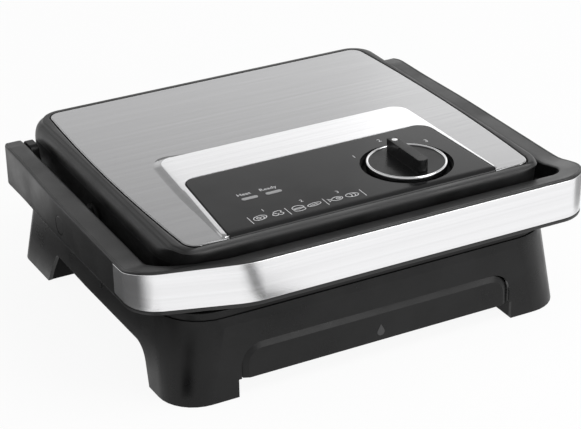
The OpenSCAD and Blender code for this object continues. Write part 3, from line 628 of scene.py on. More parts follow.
def steel_ring(g):
    """Edge of the steel top, larger by g."""
    return plate_outline(270 + 2 * g, -117.4 - g, 129.5 + g, 10 + g, 9 + g, bow=4.5)


def lid_ring(e):
    """Outer wall of the lid, inset by e."""
    return plate_outline(288 - 2 * e, -121 + e, 140 - e, 32 - e, 20 - e)


def ridge_ring(e):
    """Foot of the raised rim round the steel, inset by e."""
    return plate_outline(280.4 - 2 * e, -120.9 + e, 136.5 - e, 17 - e, 19 - e)


def panel_ring(g, front=-116.4):
    """The panel's outline, larger by g all round."""
    return four_sided([[-101.8 - g, front - g], [101.8 + g, front - g], [98.8 + g, -26.4 + g],
                       [-93.2 - g, -26.4 + g]], [0.6, 0.6, 11 + g, 11 + g])


def nose(y):
    """Height of the lid's top as it rolls down at the front."""
    return 103.2 + 8 * np.sqrt(1 - np.clip((-113 - y) / 8, 0, 1) ** 2)


def panel_loft():
    """The panel: flat, and rolled down at the front to meet the lid's edge."""
    def ring(g, y, drop):
        outline = panel_ring(g, y + g)
        return np.column_stack([outline, nose(outline[:, 1]) - drop])
    rings = [at(panel_ring(0, -117.7), 108.2), ring(0, -117.85, 0.3), ring(-0.12, -117.8, 0.08),
             ring(-0.4, -117.6, 0)]
    return loft(rings + [ring(-0.7 - k * 0.2, y, 0)
                         for k, y in enumerate((-117, -116, -115, -114, -113.2, -111))])


def outward(outline):
    """Outward normals of a closed outline drawn anticlockwise."""
    d = np.roll(outline, -1, 0) - np.roll(outline, 1, 0)
    n = np.column_stack([d[:, 1], -d[:, 0]])
    return n / np.maximum(np.hypot(n[:, 0], n[:, 1]), 1e-9)[:, None]


def mixed(a, b, t):
    """The value a part t of the way from a to b."""
    return a + (b - a) * t


class GRILL_OT_finishes(Operator):
    """Makes the finishes and puts them on the nodes that keep their own shape"""
    bl_idname = "grill.finishes"
    bl_label = "Finishes"

    def execute(self, context):
        make_materials(context.scene.grill_looks)
        for node, name in CARRIED.items():
            if node in NODES:
                mesh = NODES[node].data
                mesh.materials.clear()
                mesh.materials.append(MATERIALS[name])
        return {"FINISHED"}


class GRILL_OT_base(Operator):
    """Builds the base shell, its collar, hinge covers and pads"""
    bl_idname = "grill.base"
    bl_label = "Base"

    def execute(self, context):
        def outside_bay(edge):
            """The edges round the drawer's bay stay sharp, as their gap is narrow."""
            return not all(abs(v.co.x) < 105.2 * MM and v.co.y < -120 * MM for v in edge.verts)

        black = ("base", "black_plastic", "shell_plastic")
        shell_from("base_shell", ("base_housing", "foot_shells"), *black, context.scene.grill_sizes.edge,
                   where=outside_bay)
        shell_from("base_trim", ("base_collar",), *black, 0.4)
        shell_from("hinge_towers", ("hinge_covers",), *black, 0.5)
        shell_from("rubber_feet", ("foot_pads",), "base", "pad_rubber", "pad_rubber", 0.4)
        return {"FINISHED"}


# Grill plates: width, front and rear, rib and slab heights, and the faces that the ribs stand on
PLATE_W, PLATE_Y0, PLATE_Y1, RIB_H, SLAB_H = 244.0, -98.0, 94.0, 4.0, 4.6
RIB_N, RIB_STEP = 21, 11.0
LOWER_TOP, UPPER_UNDER, CHUTE_Y = 69.5, 82.5, -86.0


def rib_loft(z, up):
    """One rib at the left, its ends sloped and its edges rounded, standing on the height z."""
    x0, w, r = -PLATE_W / 2 + 10, 4.0, 0.9
    rings = []
    for y, rise in ((-76.0, 0.0), (-75.6, 0.55), (-74.8, 0.85), (-73.6, 1.0), (81.6, 1.0), (82.8, 0.85),
                    (83.6, 0.55), (84.0, 0.0)):
        h = max(RIB_H * rise, 0.12)
        k = min(r, h * 0.8)
        sec = [(x0, -0.2), (x0, h - k), (x0 + 0.3 * k, h - 0.3 * k), (x0 + k, h), (x0 + w - k, h),
               (x0 + w - 0.3 * k, h - 0.3 * k), (x0 + w, h - k), (x0 + w, -0.2)]
        rings.append(np.array([[x, y, z + up * q] for x, q in sec]))
    return loft(rings)


def plate_slab(z, up):
    """The slab under the ribs, its top face at the height z."""
    return loft([at(box_outline(-PLATE_W / 2 + e, PLATE_W / 2 - e, PLATE_Y0 + e, PLATE_Y1 - e, 10 - e), z - up * d)
                 for e, d in ((6.0, 0), (1.2, 0), (0.4, 0.25), (0, 1.0), (0, SLAB_H - 0.5), (0.5, SLAB_H))])


def ribbed_plate(name, z, up, body, node, *cutters):
    """A slab with its row of ribs, cut by the cutters' shapes."""
    slab = new_piece(name, plate_slab(z, up), [MATERIALS["plate_coating"]])
    ribs = grown(new_piece("ribs", rib_loft(z, up), []), "rib_row", count=RIB_N, step=(RIB_STEP * MM, 0.0, 0.0),
                 finish=MATERIALS["plate_coating"])
    cut(slab, *cutters)
    return settle(merge(slab, ribs), body, (node,))


class GRILL_OT_plates(Operator):
    """Builds the two ribbed plates"""
    bl_idname = "grill.plates"
    bl_label = "Grill plates"

    def execute(self, context):
        gutter = loft([at(box_outline(-110, 110, CHUTE_Y - 5, CHUTE_Y + 5, 4.9, 6), z) for z in (67.9, 71.0)])
        outlet = lathe_z(0, CHUTE_Y, [(5, 60), (5, 75)], 48)
        ribbed_plate("ribbed_lower_plate", LOWER_TOP, 1, "base", "lower_grill_plate", gutter, outlet)
        ribbed_plate("ribbed_upper_plate", UPPER_UNDER, -1, "lid", "upper_grill_plate")
        return {"FINISHED"}


class GRILL_OT_screws(Operator):
    """Puts in the screws that can be seen from outside"""
    bl_idname = "grill.screws"
    bl_label = "Screws"

    def execute(self, context):
        feet = [(x, y, 1.5) for x in (-131.7, 131.7) for y in (-112, 111)]
        screw_piece("foot_fixings", feet, (3.2, 1.0), (1.55, 13), True, "base", "foot_screws")
        bar = [(x, -133.25, 70.2) for x in (-69.98, 0, 69.98)]
        screw_piece("handle_fixings", bar, (3.0, 1.4), (1.5, 22.5), True, "handle", "handle_screws")
        hinge = [(x, 113, 46) for x in (-135.5, 135.5)]
        screw_piece("hinge_fixings", hinge, (3.6, 1.8), (2.0, 8), False, "base", "hinge_screws")
        return {"FINISHED"}


class GRILL_OT_drawer(Operator):
    """Builds the drip drawer's front and its tray"""
    bl_idname = "grill.drawer"
    bl_label = "Drip drawer"

    def execute(self, context):
        face = shell_from("drawer_face", ("drawer_front",), "drawer", "black_plastic", "shell_plastic", 0.35,
                          crease=14)
        spare = 0.5 * MM  # the gap round the face is this much wider than between the solids
        v = np.array([q.co for q in face.data.vertices])
        v[:, 0] *= 1 - spare / v[:, 0].max()
        low, high = v[:, 2].min(), v[:, 2].max()
        v[:, 2] = low + (v[:, 2] - low) * (1 - spare / (high - low))
        face.data.vertices.foreach_set("co", v.ravel())
        # The drip pan takes the darker, duller plastic as painted shade.
        shell_from("drip_pan", ("drip_tray",), "drawer", "black_plastic", "hidden_plastic", 0.5)
        return {"FINISHED"}


# Handle: width, front, end of the arms, the left facet, the band's ends and underside, the pivots
FRAME_W, FRONT_Y, ARM_END = 340.0, -140.0, 130.0
FACET, FACET_P = math.radians(18), (-97.0, FRONT_Y)
BAND_END, BAND_UNDER = -83.0, 71.8
PIVOT = (13, 79)


def facet_front(e):
    """Where the handle's front turns into its left facet, at the inset e."""
    return [FACET_P[0] + e * (math.sin(FACET) - (1 - math.cos(FACET)) / math.tan(FACET)), FRONT_Y + e]


def facet_side(e, hw):
    """Where the facet meets the left side at the half width hw."""
    t = (FACET_P[0] + e * math.sin(FACET) + hw) / math.cos(FACET)
    return [-hw, FRONT_Y + e * math.cos(FACET) + t * math.sin(FACET)]


def frame_path(e, inner=False):
    """The outer or inner edge of the handle frame, from the right arm's end to the left arm's end."""
    if inner:
        hw, yi = 153 + e, -126.5 - e
        s = facet_side(8 - e, hw)
        points = [[hw, ARM_END], [hw, yi], [s[0] + (s[1] - yi) / math.tan(FACET), yi], s, [-hw, ARM_END]]
        radii = [0, 11 + e, 60, 27 + e, 0]
    else:
        hw = FRAME_W / 2 - e
        points = [[hw, ARM_END], [hw, FRONT_Y + e], facet_front(e), facet_side(e, hw), [-hw, ARM_END]]
        radii = [0, 25 - e, 60 - e, 26 - e, 0]
    return rounded(points, radii, 16)


def stations(*paths, step=5.0, extra=()):
    """The same paths with points added along their long stretches, and where the first has the given y."""
    out = [[p[0]] for p in paths]
    for i in range(len(paths[0]) - 1):
        long = max(np.hypot(*(p[i + 1] - p[i])) for p in paths)
        ts = [k / math.ceil(long / step) for k in range(1, math.ceil(long / step) + 1)] if long > 0 else [1]
        y0, y1 = paths[0][i][1], paths[0][i + 1][1]
        ts += [(y - y0) / (y1 - y0) for y in extra if min(y0, y1) < y < max(y0, y1)]
        for t in sorted(ts):
            for o, p in zip(out, paths):
                o.append(mixed(p[i], p[i + 1], t))
    return [np.array(o) for o in out]


# Place from front to back, and height, along the frame's top face
TOP_LINE = np.array([[-141, 102.5], [-120, 100.5], [-108, 98.2], [-97, 95.5], [-86, 95.2], [118, 95.6],
                     [119, 95.5], [128.4, 94.9], [129.6, 94.4], [130, 93.6]])


def frame_top(y):
    """Height of the frame's top face: flat arms that rise to the rim at the front."""
    spread = np.linspace(-4, 4, 9) if y < 108 else np.zeros(1)
    return float(np.mean(np.interp(y + spread, TOP_LINE[:, 0], TOP_LINE[:, 1])))


def frame_under(y):
    """Height of the frame's lower edge."""
    return float(np.interp(y, [BAND_END, 126, ARM_END], [69, 65, 66.5]))


def band_top(y):
    """Height of the band's upper edge."""
    return frame_top(y) - 1.7


def frame_loft():
    """The U-shaped frame, hollow underneath and stepped back behind the band."""
    outer, inner = stations(frame_path(0), frame_path(0, True),
                            extra=(-83.1, -82.9, 117, 118, 119, 121, 122.8, 123.2, 124, 125.5, 127, 128.4, 129.6))
    y = outer[:, 1]
    slim = np.clip((y - 20) / 80, 0, 1)
    inset = 2.0 * slim * slim * (3 - 2 * slim) + 3.5 * np.clip((y - 121) / 9, 0, 1) ** 2
    outer[:, 0] -= np.sign(outer[:, 0]) * inset
    rings = []
    for o, i in zip(outer, inner):
        width = np.hypot(*(i - o))
        w = (i - o) / width
        zo, zi, zu = frame_top(o[1]), frame_top(i[1]), frame_under(o[1])
        d = 1.35 if o[1] < BAND_END else 0.0
        bt = band_top(o[1]) + 0.15 if d else zo - 3
        hollow = 3.4 if o[1] < 123 else 0.05
        # outer wall with the step behind the band, top face with its fine line, inner wall, hollow
        sec = [(0.0, zu + 0.8), (0.0, 71.6), (d, 71.65), (d, bt), (0.0, bt + 0.05)]
        sec += [(0.0, zo - 0.9), (0.12, zo - 0.45), (0.45, zo - 0.12), (0.9, zo), (1.5, zo), (1.75, zo - 0.22),
                (2.05, zo - 0.22), (2.3, zo - 0.02)]
        across = [2.3 + (width - 4.3) * t for t in (0.3, 0.5, 0.7)]
        sec += [(a, frame_top((o + w * a)[1]) - 0.02) for a in across]
        sec += [(width - 2.0, zi), (width - 1.2, zi - 0.12), (width - 0.5, zi - 0.45), (width - 0.12, zi - 1.1),
                (width, zi - 1.9), (width, zu + 0.8), (width - 0.25, zu + 0.2), (width - 0.9, zu)]
        sec += [(width - 3.4, zu), (width - 3.5, zu + 0.1), (width - 3.5, zu + hollow), (3.5, zu + hollow),
                (3.5, zu + 0.1), (3.4, zu), (0.9, zu), (0.25, zu + 0.2)]
        rings.append([[*(o + w * a), z] for a, z in sec])
    return loft([np.array(r) for r in rings])


def band_loft():
    """The steel band round the front, its edges rolled."""
    rings = []
    for o, i in zip(*stations(frame_path(0), frame_path(1.2), step=4.0, extra=(BAND_END,))):
        if o[1] > BAND_END + 0.01:
            continue
        lo, hi = BAND_UNDER, band_top(o[1])
        sec = [(1.0, lo), (0.3, lo), (0.09, lo + 0.09), (0.0, lo + 0.35)]
        sec += [(0.0, mixed(lo + 0.35, hi - 0.35, t)) for t in (0.25, 0.5, 0.75)]
        sec += [(0.0, hi - 0.35), (0.09, hi - 0.09), (0.3, hi), (1.0, hi)]
        rings.append(np.array([[*mixed(o, i, a), z] for a, z in sec]))
    return loft(rings)


class GRILL_OT_handle(Operator):
    """Builds the U-shaped handle frame, its pivot caps and its steel band"""
    bl_idname = "grill.handle"
    bl_label = "Handle"

    def execute(self, context):
        arms = new_piece("handle_arms", frame_loft(), [MATERIALS["handle_plastic"]])
        cut(arms, *(lathe_x(*PIVOT, [(7.08, s * 169.2), (7.08, s * 171)]) for s in (-1, 1)))
        settle(arms, "handle", ("handle_frame",))
        profile = ((6.0, 168.3), (7.0, 168.3), (7.0, 169.6), (6.8, 169.8), (6.4, 169.9), (5.6, 169.9))
        caps = joined(*(lathe_x(*PIVOT, [(r, s * x) for r, x in profile]) for s in (-1, 1)))
        settle(new_piece("arm_caps", caps, [MATERIALS["handle_plastic"]]), "handle",
               ("pivot_caps",))
        # The band takes the lighter copy of the steel as painted highlight.
        band = new_piece("front_band", band_loft(), [MATERIALS["band_steel"]], angle=50)
        settle(even_normals(band), "handle", ("handle_band",))
        return {"FINISHED"}


# Middles of the dial's well and of the two lenses
WELL = (53.7, -78.4)
LENS_X, LENS_Y = (-65.5, -47.5), -73.9


def lens_hole(x, z0, z1, g=0.0):
    """A cutter for a lens, wider by g all round."""
    outline = box_outline(x - 6 - g, x + 6 + g, LENS_Y - 1.7 - g, LENS_Y + 1.7 + g, 1.6, 6)
    return loft([at(outline, z0), at(outline, z1)])


# Place and height along the lid's front, from under the steel over the rolled edge
NOSE = ((-117.95, 107.6), (-117.95, 109.0), (-118.05, 109.35), (-118.2, 109.25), (-118.4, 109.1),
        (-118.6, 108.9), (-118.8, 108.72), (-119.0, 108.5), (-119.25, 108.2), (-119.5, 107.85), (-119.7, 107.55),
        (-119.93, 107.2), (-120.2, 106.7), (-120.45, 106.1), (-120.65, 105.5), (-120.8, 104.9), (-120.92, 104.2),
        (-120.98, 103.2), (-121.0, 101.0))
LID_TOP, STEEL_TOP, FIELD_TOP = 109.6, 110.0, 111.2


def lid_loft():
    """The lid's shell: the seat of the steel, the rim round it, and the walls with the hollow inside."""
    rings = [at(steel_ring(g), z) for g, z in ((0.95, 107.6), (0.95, 109.2), (1.05, 109.45), (1.35, LID_TOP))]
    rings += [at(mixed(steel_ring(1.35), ridge_ring(2.6), t), LID_TOP) for t in (0.35, 0.7, 1.0)]
    rings += [at(ridge_ring(e), z) for e, z in ((2.1, 109.45), (1.7, 109.0), (1.4, 108.3), (1.15, 107.75),
                                                (0.75, 107.4), (0.1, 107.1))]
    rings += [at(mixed(ridge_ring(0), lid_ring(0), t), z) for t, z in
              ((0.2, 106.5), (0.42, 105.4), (0.62, 103.9), (0.8, 101.8), (0.93, 99.2), (1.0, 96.0))]
    front = np.clip((-outward(steel_ring(0))[:, 1] - 0.5) / 0.5, 0, 1)
    for ring, (y, z) in zip(rings, NOSE):
        ring[:, 1] = mixed(ring[:, 1], y, front)
        ring[:, 2] = mixed(ring[:, 2], z, front)
    return loft(rings + [at(lid_ring(e), z) for e, z in ((0, 81.2), (0.3, 80.4), (1.0, 80.0), (4.2, 80.0),
                                                         (4.5, 80.3), (4.5, 105.6))])


def steel_loft():
    """The steel top with its raised field round the panel, which slopes out at the left."""
    corner = [[-106.4, -116.4], [104.4, -116.4], [103.4, 14.1], [-94.3, 14.1]]
    field = four_sided(corner, [2, 2, 13, 13])
    n = outward(field)
    x, y = field[:, 0], field[:, 1]
    left = np.clip((-x - 80) / 14, 0, 1) * np.clip((y + 116) / 110, 0, 1)
    rear_corner = np.exp(-((x + 92) ** 2 + (y - 13) ** 2) / 110.0)
    out = 0.4 + 8.5 * left * np.clip((10 - y) / 14, 0, 1) + 5.0 * rear_corner
    out = np.where(y < -115.9, 0.04, out)
    rings = [at(steel_ring(g), z) for g, z in ((0, 108.8), (0, 109.6), (-0.3, 109.92), (-0.75, STEEL_TOP),
                                               (-0.85, STEEL_TOP))]
    for t in np.linspace(0, 1, 9):
        s = t * t * (3 - 2 * t)
        reach = out * (1 - t) - 0.9 * t
        rings.append(at(field + n * reach[:, None], STEEL_TOP + s * (1.2 - 0.5 * np.clip((y + 26) / 40, 0, 1))))
    rings += [at(panel_ring(g), z) for g, z in ((1.0, FIELD_TOP), (0.75, 111.15), (0.6, 110.95), (0.6, 108.8))]
    rings.append(rings[0])
    for ring in rings:
        ring[:, 2] = np.minimum(ring[:, 2], nose(ring[:, 1]) + 0.12)
        front = (ring[:, 1] < -114.0) & (np.abs(ring[:, 0]) < np.where(ring[:, 1] < -116.5, 103.2, 102.4))
        ring[front, 2] = np.minimum(ring[front, 2], 109.0)
    return loft(rings, caps=False)


def steel_part(face):
    """The raised field takes a lighter copy of the steel, as painted highlight, and its fine rear edge a darker
    copy, as painted shade.
    """
    heights = [v.co.z for v in face.verts]
    if face.normal.z > 0.998 and min(heights) > 110.5 * MM:
        return 1
    # The fine rear edge takes the darker steel as a painted shade line.
    shaded_rear_edge = 110.02 * MM < max(heights) < 110.9 * MM and face.calc_center_median().y > 13.2 * MM
    return 2 if shaded_rear_edge else 0


def lid_part(face):
    """The walls beside the handle's arms take a darker, duller plastic than the rim: painted shade for the narrow
    gap.
    """
    return int(max(v.co.z for v in face.verts) < 96.5 * MM and min(abs(v.co.x) for v in face.verts) > 137 * MM)


class GRILL_OT_lid(Operator):
    """Builds the lid's shell, steel top and panel"""
    bl_idname = "grill.lid"
    bl_label = "Lid"

    def execute(self, context):
        # The lid's walls in the gap beside the arms get the darker plastic as painted shade.
        shell = new_piece("lid_shell", lid_loft(), [MATERIALS["lid_plastic"], MATERIALS["hidden_plastic"]],
                          angle=50, pick=lid_part)
        cut(shell, lathe_z(*WELL, [(33.6, 100), (33.6, 112)]), *(lens_hole(x, 100, 112, 1.0) for x in LENS_X))
        bosses = joined(*(pipe_x(*PIVOT, 7.0, 10.0, s * 136, s * 146) for s in (-1, 1)))
        merge(shell, new_piece("bosses", bosses, [MATERIALS["lid_plastic"]]))
        settle(shell, "lid", ("lid_housing",))
        # The raised field is a lighter copy of the steel as painted highlight, its rear edge a darker copy as a
        # painted shade line.
        steel = new_piece("steel_top", steel_loft(),
                          [MATERIALS[k] for k in ("top_steel", "field_steel", "edge_steel")],
                          angle=40, pick=steel_part)
        settle(even_normals(steel), "lid", ("lid_top_plate",))
        panel = new_piece("panel_face", panel_loft(), [MATERIALS["panel_gloss"]], angle=40)
        cut(panel, lathe_z(*WELL, [(32.7, 105), (32.7, 113)]), *(lens_hole(x, 105, 113) for x in LENS_X))
        settle(panel, "lid", ("control_panel",))
        return {"FINISHED"}


class GRILL_OT_dial(Operator):
    """Builds the thermostat knob and its ring"""
    bl_idname = "grill.dial"
    bl_label = "Dial"

    def execute(self, context):
        shell_from("dial_knob", ("knob_body",), "knob", "panel_gloss", "knob_plastic", 0.6)
        profile = [(26.4, 106.5), (28.3, 106.5), (28.3, 112.6), (28.18, 113.0), (27.9, 113.35), (27.5, 113.5),
                   (27.15, 113.48), (26.8, 113.3), (26.5, 112.95), (26.4, 112.5)]
        ring = loft([ring_z(*WELL, r, z) for r, z in profile + profile[:1]], caps=False)
        dot = lathe_z(WELL[0], WELL[1] + 16.5, [(2.2, 122.2), (2.2, 122.48), (2.1, 122.53)], 32)
        settle(new_piece("dial_dot", dot, [MATERIALS["dot_white"]]), "knob", ("knob_dot",))
        settle(new_piece("dial_ring", ring, [MATERIALS["ring_chrome"]], angle=60), "knob",
               ("knob_ring",))
        return {"FINISHED"}


def ribbon(points, width, z0, z1, closed=False):
    """A line of the given width along points, as a thin solid between two heights."""
    p = np.array(points, float)
    d = np.roll(p, -1, 0) - np.roll(p, 1, 0) if closed else np.gradient(p, axis=0)
    n = np.column_stack([-d[:, 1], d[:, 0]]) / np.hypot(d[:, 0], d[:, 1])[:, None] * width / 2
    rings = [np.array([[*(q + m), z0], [*(q - m), z0], [*(q - m), z1], [*(q + m), z1]]) for q, m in zip(p, n)]
    return loft(rings + rings[:1], caps=False) if closed else loft(rings)


def oval(x, y, rx, ry, turn=0.0, wave=0.0, lobes=3, n=28):
    """A closed oval, its edge waved in and out if asked."""
    a = np.linspace(0, 2 * math.pi, n, endpoint=False)
    r = 1 + wave * np.cos(lobes * a)
    u, v = rx * r * np.cos(a), ry * r * np.sin(a)
    c, s = math.cos(turn), math.sin(turn)
    return np.column_stack([x + u * c - v * s, y + u * s + v * c])


def arc(x, y, rx, ry, a0, a1, n=12):
    """Part of an oval, between two angles in degrees."""
    a = np.radians(np.linspace(a0, a1, n))
    return np.column_stack([x + rx * np.cos(a), y + ry * np.sin(a)])


def lettering(text, x, y, height, z0, z1):
    """Plain lettering, centred on a point."""
    curve = bpy.data.curves.new("lettering", "FONT")
    curve.body, curve.size = text, height * 1.4
    curve.align_x, curve.align_y = "CENTER", "CENTER"
    curve.extrude = (z1 - z0) / 2
    curve.resolution_u = 3
    obj = placed("lettering", curve)
    mesh = bpy.data.meshes.new_from_object(obj.evaluated_get(bpy.context.evaluated_depsgraph_get()))
    shape = ([(v.co.x + x, v.co.y + y, v.co.z + (z0 + z1) / 2) for v in mesh.vertices],
             [tuple(q.vertices) for q in mesh.polygons])
    bpy.data.objects.remove(obj)
    bpy.data.curves.remove(curve)
    bpy.data.meshes.remove(mesh)
    return shape


def food_signs(y):
    """Six small line drawings of things to grill, each a list of lines and whether they close."""
    steak = [(oval(-72.8, y, 4.4, 3.3, 0.2, 0.12, 2), 1), (oval(-73.8, y - 0.2, 1.5, 1.1), 1),
             (arc(-71.8, y, 1.8, 2.0, -70, 70), 0)]
    pieces = [(oval(-61.6, y - 0.9, 2.2, 1.7), 1), (oval(-58.0, y - 1.0, 2.0, 1.6), 1),
              (oval(-59.4, y + 1.8, 3.2, 1.5, 0.2), 1)]
    filling = [[-48.8, y - 1.1], [-46.5, y - 0.7], [-44.3, y - 1.3], [-42.0, y - 0.7], [-39.8, y - 1.1]]
    burger = [(arc(-44.3, y + 0.6, 4.3, 3.2, 0, 180), 0), ([[-48.8, y + 0.3], [-39.8, y + 0.3]], 0),
              (filling, 0), (arc(-44.3, y - 1.9, 4.3, 2.2, 180, 360), 0)]
    sausage = [(oval(-32.5, y, 5.2, 1.9, 0.12), 1), ([[-35.6, y - 0.5], [-29.6, y + 0.3]], 0)]
    tail = [[-19.0, y], [-22.0, y + 2.2], [-21.4, y], [-22.0, y - 2.2], [-19.0, y]]
    fish = [(oval(-15.2, y, 4.2, 2.5, 0.1), 1), (tail, 0), (oval(-14.2, y + 0.1, 1.5, 0.9), 1)]
    roll = [(oval(-3.8, y, 4.6, 2.7, -0.1), 1), (arc(-5.4, y, 1.3, 2.0, -80, 80), 0),
            (arc(-2.8, y, 1.3, 2.0, -80, 80), 0)]
    return steak + pieces + burger + sausage + fish + roll


def drop_outline(x, z, w, h, n=20):
    """A drop with its point at the top."""
    r = w / 2
    a = np.radians(np.linspace(150, 390, n))
    lower = np.column_stack([x + r * np.cos(a), z + r + r * np.sin(a)])
    return np.vstack([lower, [[x + r * 0.38, z + h * 0.78], [x, z + h], [x - r * 0.38, z + h * 0.78]]])


class GRILL_OT_marks(Operator):
    """Prints the generic signs on the panel and the drawer"""
    bl_idname = "grill.marks"
    bl_label = "Marks"

    def execute(self, context):
        z0, z1 = FIELD_TOP - 0.1, FIELD_TOP + 0.05
        parts = [ribbon(line, 0.6, z0, z1, bool(closed)) for line, closed in food_signs(-103.6)]
        parts += [ribbon([[x, -99], [x, -109.5]], 0.5, z0, z1) for x in (-80.2, -52.5, -24.2, 4.2)]
        parts += [lettering(str(k + 1), x, -94.8, 3.4, z0, z1) for k, x in enumerate((-66.4, -37.7, -10.3))]
        parts += [lettering(str(k + 1), x, y, 4.2, z0, z1)
                  for k, (x, y) in enumerate(((27.1, -51.3), (55.8, -36.6), (84.5, -53.4)))]
        parts += [lettering(word, x, -66.6, 3.7, z0, z1) for word, x in (("Heat", -66.6), ("Ready", -48.4))]
        settle(new_piece("panel_print", joined(*parts), [MATERIALS["print_grey"]]), "lid")
        drop = drop_outline(0.8, 17.0, 5.6, 8.6)
        rings = [np.column_stack([drop[:, 0], np.full(len(drop), y), drop[:, 1]]) for y in (-134.3, -134.55)]
        settle(new_piece("drawer_drop", loft(rings), [MATERIALS["mark_grey"]]), "drawer")
        return {"FINISHED"}


# Soft lamps: place, size and power, all aimed at the grill
LAMPS = {"soft_box_right": ((1.5, 1.3, 0.7), (1.2, 0.9), 1), "soft_box_above": ((0.66, -0.67, 1.25), (1.0, 0.9), 11),
         "soft_box_front": ((0.65, -1.4, 0.43), (1.1, 0.45), 4)}

# Dark sheets that shape the reflections: corners, height, tone and how much of each way is soft edge
CARDS = {
    "dark_card_left": (((-0.8, -0.13), (-0.16, -0.13), (-0.16, 0.27), (-0.8, 0.27)), 0.001, 0.17, 0.03, 0.3),
    "dark_card_turn": (((-0.8, -0.285), (-0.245, -0.285), (-0.245, 0.35), (-0.8, 0.35)), 0.002, 0.15, 0.04, 0.276),
    "dark_card_fold": (((-0.168, -0.4), (-0.094, -0.4), (0.004, -0.225), (-0.039, -0.225)), 0.001, 0.0, 0.2, 0.03),
    "dark_card_corner": (((-0.25, -0.178), (-0.2, -0.228), (-0.141, -0.149), (-0.159, -0.129)), 0.001, 0.0, 0.3,
                         0.1),
    "dark_card_right": (((0.29, -0.22), (0.6, -0.22), (0.6, 0.3), (0.29, 0.3)), 0.001, 0.35, 0.1, 0.12)}


class GRILL_OT_studio(Operator):
    """Sets up the floor, the light and the camera"""
    bl_idname = "grill.studio"
    bl_label = "Studio"

    def execute(self, context):
        scene = context.scene
        looks = scene.grill_looks
        add_floor(tuple(looks.floor), looks.floor_glow)
        add_world(scene, looks.room_light, looks.horizon_light)
        for name, values in LAMPS.items():
            add_lamp(name, *values)
        for name, values in CARDS.items():
            add_dark_card(name, *values)
        add_camera(scene)
        scene.view_settings.view_transform = "Standard"
        return {"FINISHED"}


def sheet(name, corners, z=0.0):
    """A level four-sided sheet of the stage."""
    mesh = bpy.data.meshes.new(name)
    mesh.from_pydata([(x, y, z) for x, y in corners], [], [(0, 1, 2, 3)])
    return placed(name, mesh)


def mix_surface(tree, fac, first, second):
    """Shows the first shader where fac is zero and the second where it is one."""
    mix = feed(tree, add(tree, "ShaderNodeMixShader"), {"Fac": fac, 1: first.outputs[0], 2: second.outputs[0]})
    tree.links.new(mix.outputs[0], tree.nodes["Material Output"].inputs["Surface"])


def rays(tree, *kinds):
    """One for the named kinds of ray, zero for the others."""
    path = add(tree, "ShaderNodeLightPath").outputs
    total = path[kinds[0]]
    for kind in kinds[1:]:
        total = maths(tree, "MAXIMUM", total, path[kind])
    return total


def add_floor(color, white):
    """A wide paper floor that shows as plain white with the object's soft shadow on it."""
    size = 6.0
    floor = sheet("studio_floor", ((-size, -size), (size, -size), (size, size), (-size, size)))
    m, t, p = new_material("studio_paper")
    feed(t, p, {"Base Color": (*color, 1), "Roughness": 0.9})
    seen = rays(t, "Is Camera Ray", "Is Glossy Ray", "Is Transmission Ray")
    mix_surface(t, maths(t, "MULTIPLY", seen, white), p, add(t, "ShaderNodeEmission"))
    floor.data.materials.append(m)


def add_world(scene, level, horizon):
    """Soft light from all round that grows towards the horizon, seen as white behind the object."""
    world = bpy.data.worlds.new("studio_light")
    world.use_nodes = True
    t = world.node_tree
    way = feed(t, add(t, "ShaderNodeSeparateXYZ"), {0: add(t, "ShaderNodeTexCoord").outputs["Generated"]}).outputs
    above = ranged(t, way["Z"], 0.46, 0.37, 0.0, horizon, "SMOOTHSTEP")
    below = ranged(t, way["Z"], 0.2, 0.34, 0.35, 1.0, "SMOOTHSTEP")
    side = ranged(t, way["X"], 0.33, 0.5, 0.8, 1.08)
    lit = maths(t, "MULTIPLY_ADD", maths(t, "MULTIPLY", above, below), side, level)
    seen = rays(t, "Is Camera Ray", "Is Transmission Ray")
    feed(t, t.nodes["Background"], {"Color": (1, 1, 1, 1), "Strength": ranged(t, seen, 0.0, 1.0, lit, 1.0)})
    scene.world = world


def add_lamp(name, place, size, power):
    """A soft rectangular lamp aimed at the grill."""
    lamp = bpy.data.lights.new(name, "AREA")
    lamp.shape = "RECTANGLE"
    lamp.size, lamp.size_y = size
    lamp.energy = power
    back = Vector(place) - Vector((0, 0, 0.08))
    placed(name, lamp).matrix_world = Matrix.Translation(place) @ back.to_track_quat("Z", "Y").to_matrix().to_4x4()


def add_dark_card(name, corners, z, tone, soft_u, soft_v):
    """A dark sheet with soft edges that only reflections show: it shapes the steel and dark gloss."""
    card = sheet(name, corners, z)
    uv = card.data.uv_layers.new(name="sheet")
    for loop, place in zip(uv.data, ((0, 0), (1, 0), (1, 1), (0, 1))):
        loop.uv = place
    m, t, p = new_material(name)
    feed(t, p, {"Base Color": (tone, tone, tone, 1), "Roughness": 1.0, "Specular IOR Level": 0.0})
    place = feed(t, add(t, "ShaderNodeSeparateXYZ"),
                 {0: add(t, "ShaderNodeUVMap", uv_map="sheet").outputs["UV"]}).outputs
    ways = [ranged(t, maths(t, "PINGPONG", place[axis], 0.5), 0.0, soft, 0.0, 1.0, "SMOOTHSTEP")
            for axis, soft in (("X", soft_u), ("Y", soft_v))]
    cover = maths(t, "MULTIPLY", *ways)
    mix_surface(t, cover, add(t, "ShaderNodeBsdfTransparent"), p)
    card.data.materials.append(m)
    card.visible_camera = card.visible_diffuse = card.visible_shadow = card.visible_transmission = False


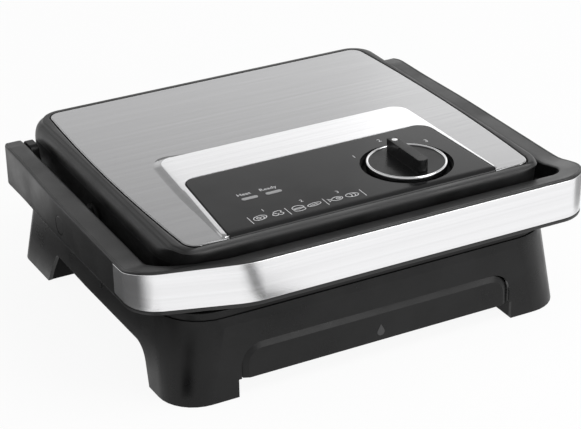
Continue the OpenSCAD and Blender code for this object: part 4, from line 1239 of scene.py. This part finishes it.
def add_camera(scene):
    """The camera that the photograph was taken with, as its edges give it."""
    photo_width, focal_pixels, sensor = 581, 1929.78, 36.0
    az, el, roll, dist = math.radians(-27.12), math.radians(26.44), math.radians(-1.28), 1.50092
    target = Vector((0.04208, 0.077, 0.00712))
    back = Vector((math.sin(az) * math.cos(el), -math.cos(az) * math.cos(el), math.sin(el)))
    right = (-back).cross(Vector((0, 0, 1))).normalized()
    up = right.cross(-back)
    right, up = (math.cos(roll) * right + math.sin(roll) * up, -math.sin(roll) * right + math.cos(roll) * up)
    cam = placed("photo_camera", bpy.data.cameras.new("photo_camera"))
    cam.data.sensor_width = sensor
    cam.data.lens = focal_pixels / photo_width * sensor
    cam.data.clip_start, cam.data.clip_end = 0.05, 50
    cam.matrix_world = (Matrix.Translation(target + back * dist) @
                        Matrix((right, up, back)).transposed().to_4x4())
    scene.camera = cam


class GRILL_PT_sidebar(Panel):
    """Lists the grill's pieces, sizes and colours"""
    bl_idname = "GRILL_PT_sidebar"
    bl_label = "Contact grill"
    bl_space_type = "VIEW_3D"
    bl_region_type = "UI"
    bl_category = "Grill"

    def draw(self, context):
        for group_name in ("grill_looks", "grill_sizes"):
            values = getattr(context.scene, group_name)
            for key in values.__annotations__:
                self.layout.prop(values, key)
        for op in OPERATORS:
            self.layout.operator(op.bl_idname)


OPERATORS = (GRILL_OT_finishes, GRILL_OT_base, GRILL_OT_plates, GRILL_OT_screws, GRILL_OT_drawer,
             GRILL_OT_handle, GRILL_OT_lid, GRILL_OT_dial, GRILL_OT_marks, GRILL_OT_studio)
CLASSES = (GrillLooks, GrillSizes, *OPERATORS, GRILL_PT_sidebar)


def register():
    for c in CLASSES:
        bpy.utils.register_class(c)
    bpy.types.Scene.grill_looks = PointerProperty(type=GrillLooks)
    bpy.types.Scene.grill_sizes = PointerProperty(type=GrillSizes)


def unregister():
    del bpy.types.Scene.grill_sizes
    del bpy.types.Scene.grill_looks
    for c in reversed(CLASSES):
        bpy.utils.unregister_class(c)


def main():
    """Builds the looks."""
    register()
    for op in OPERATORS:
        getattr(bpy.ops.grill, op.bl_idname.split(".")[1])()


if __name__ == "__main__":
    main()
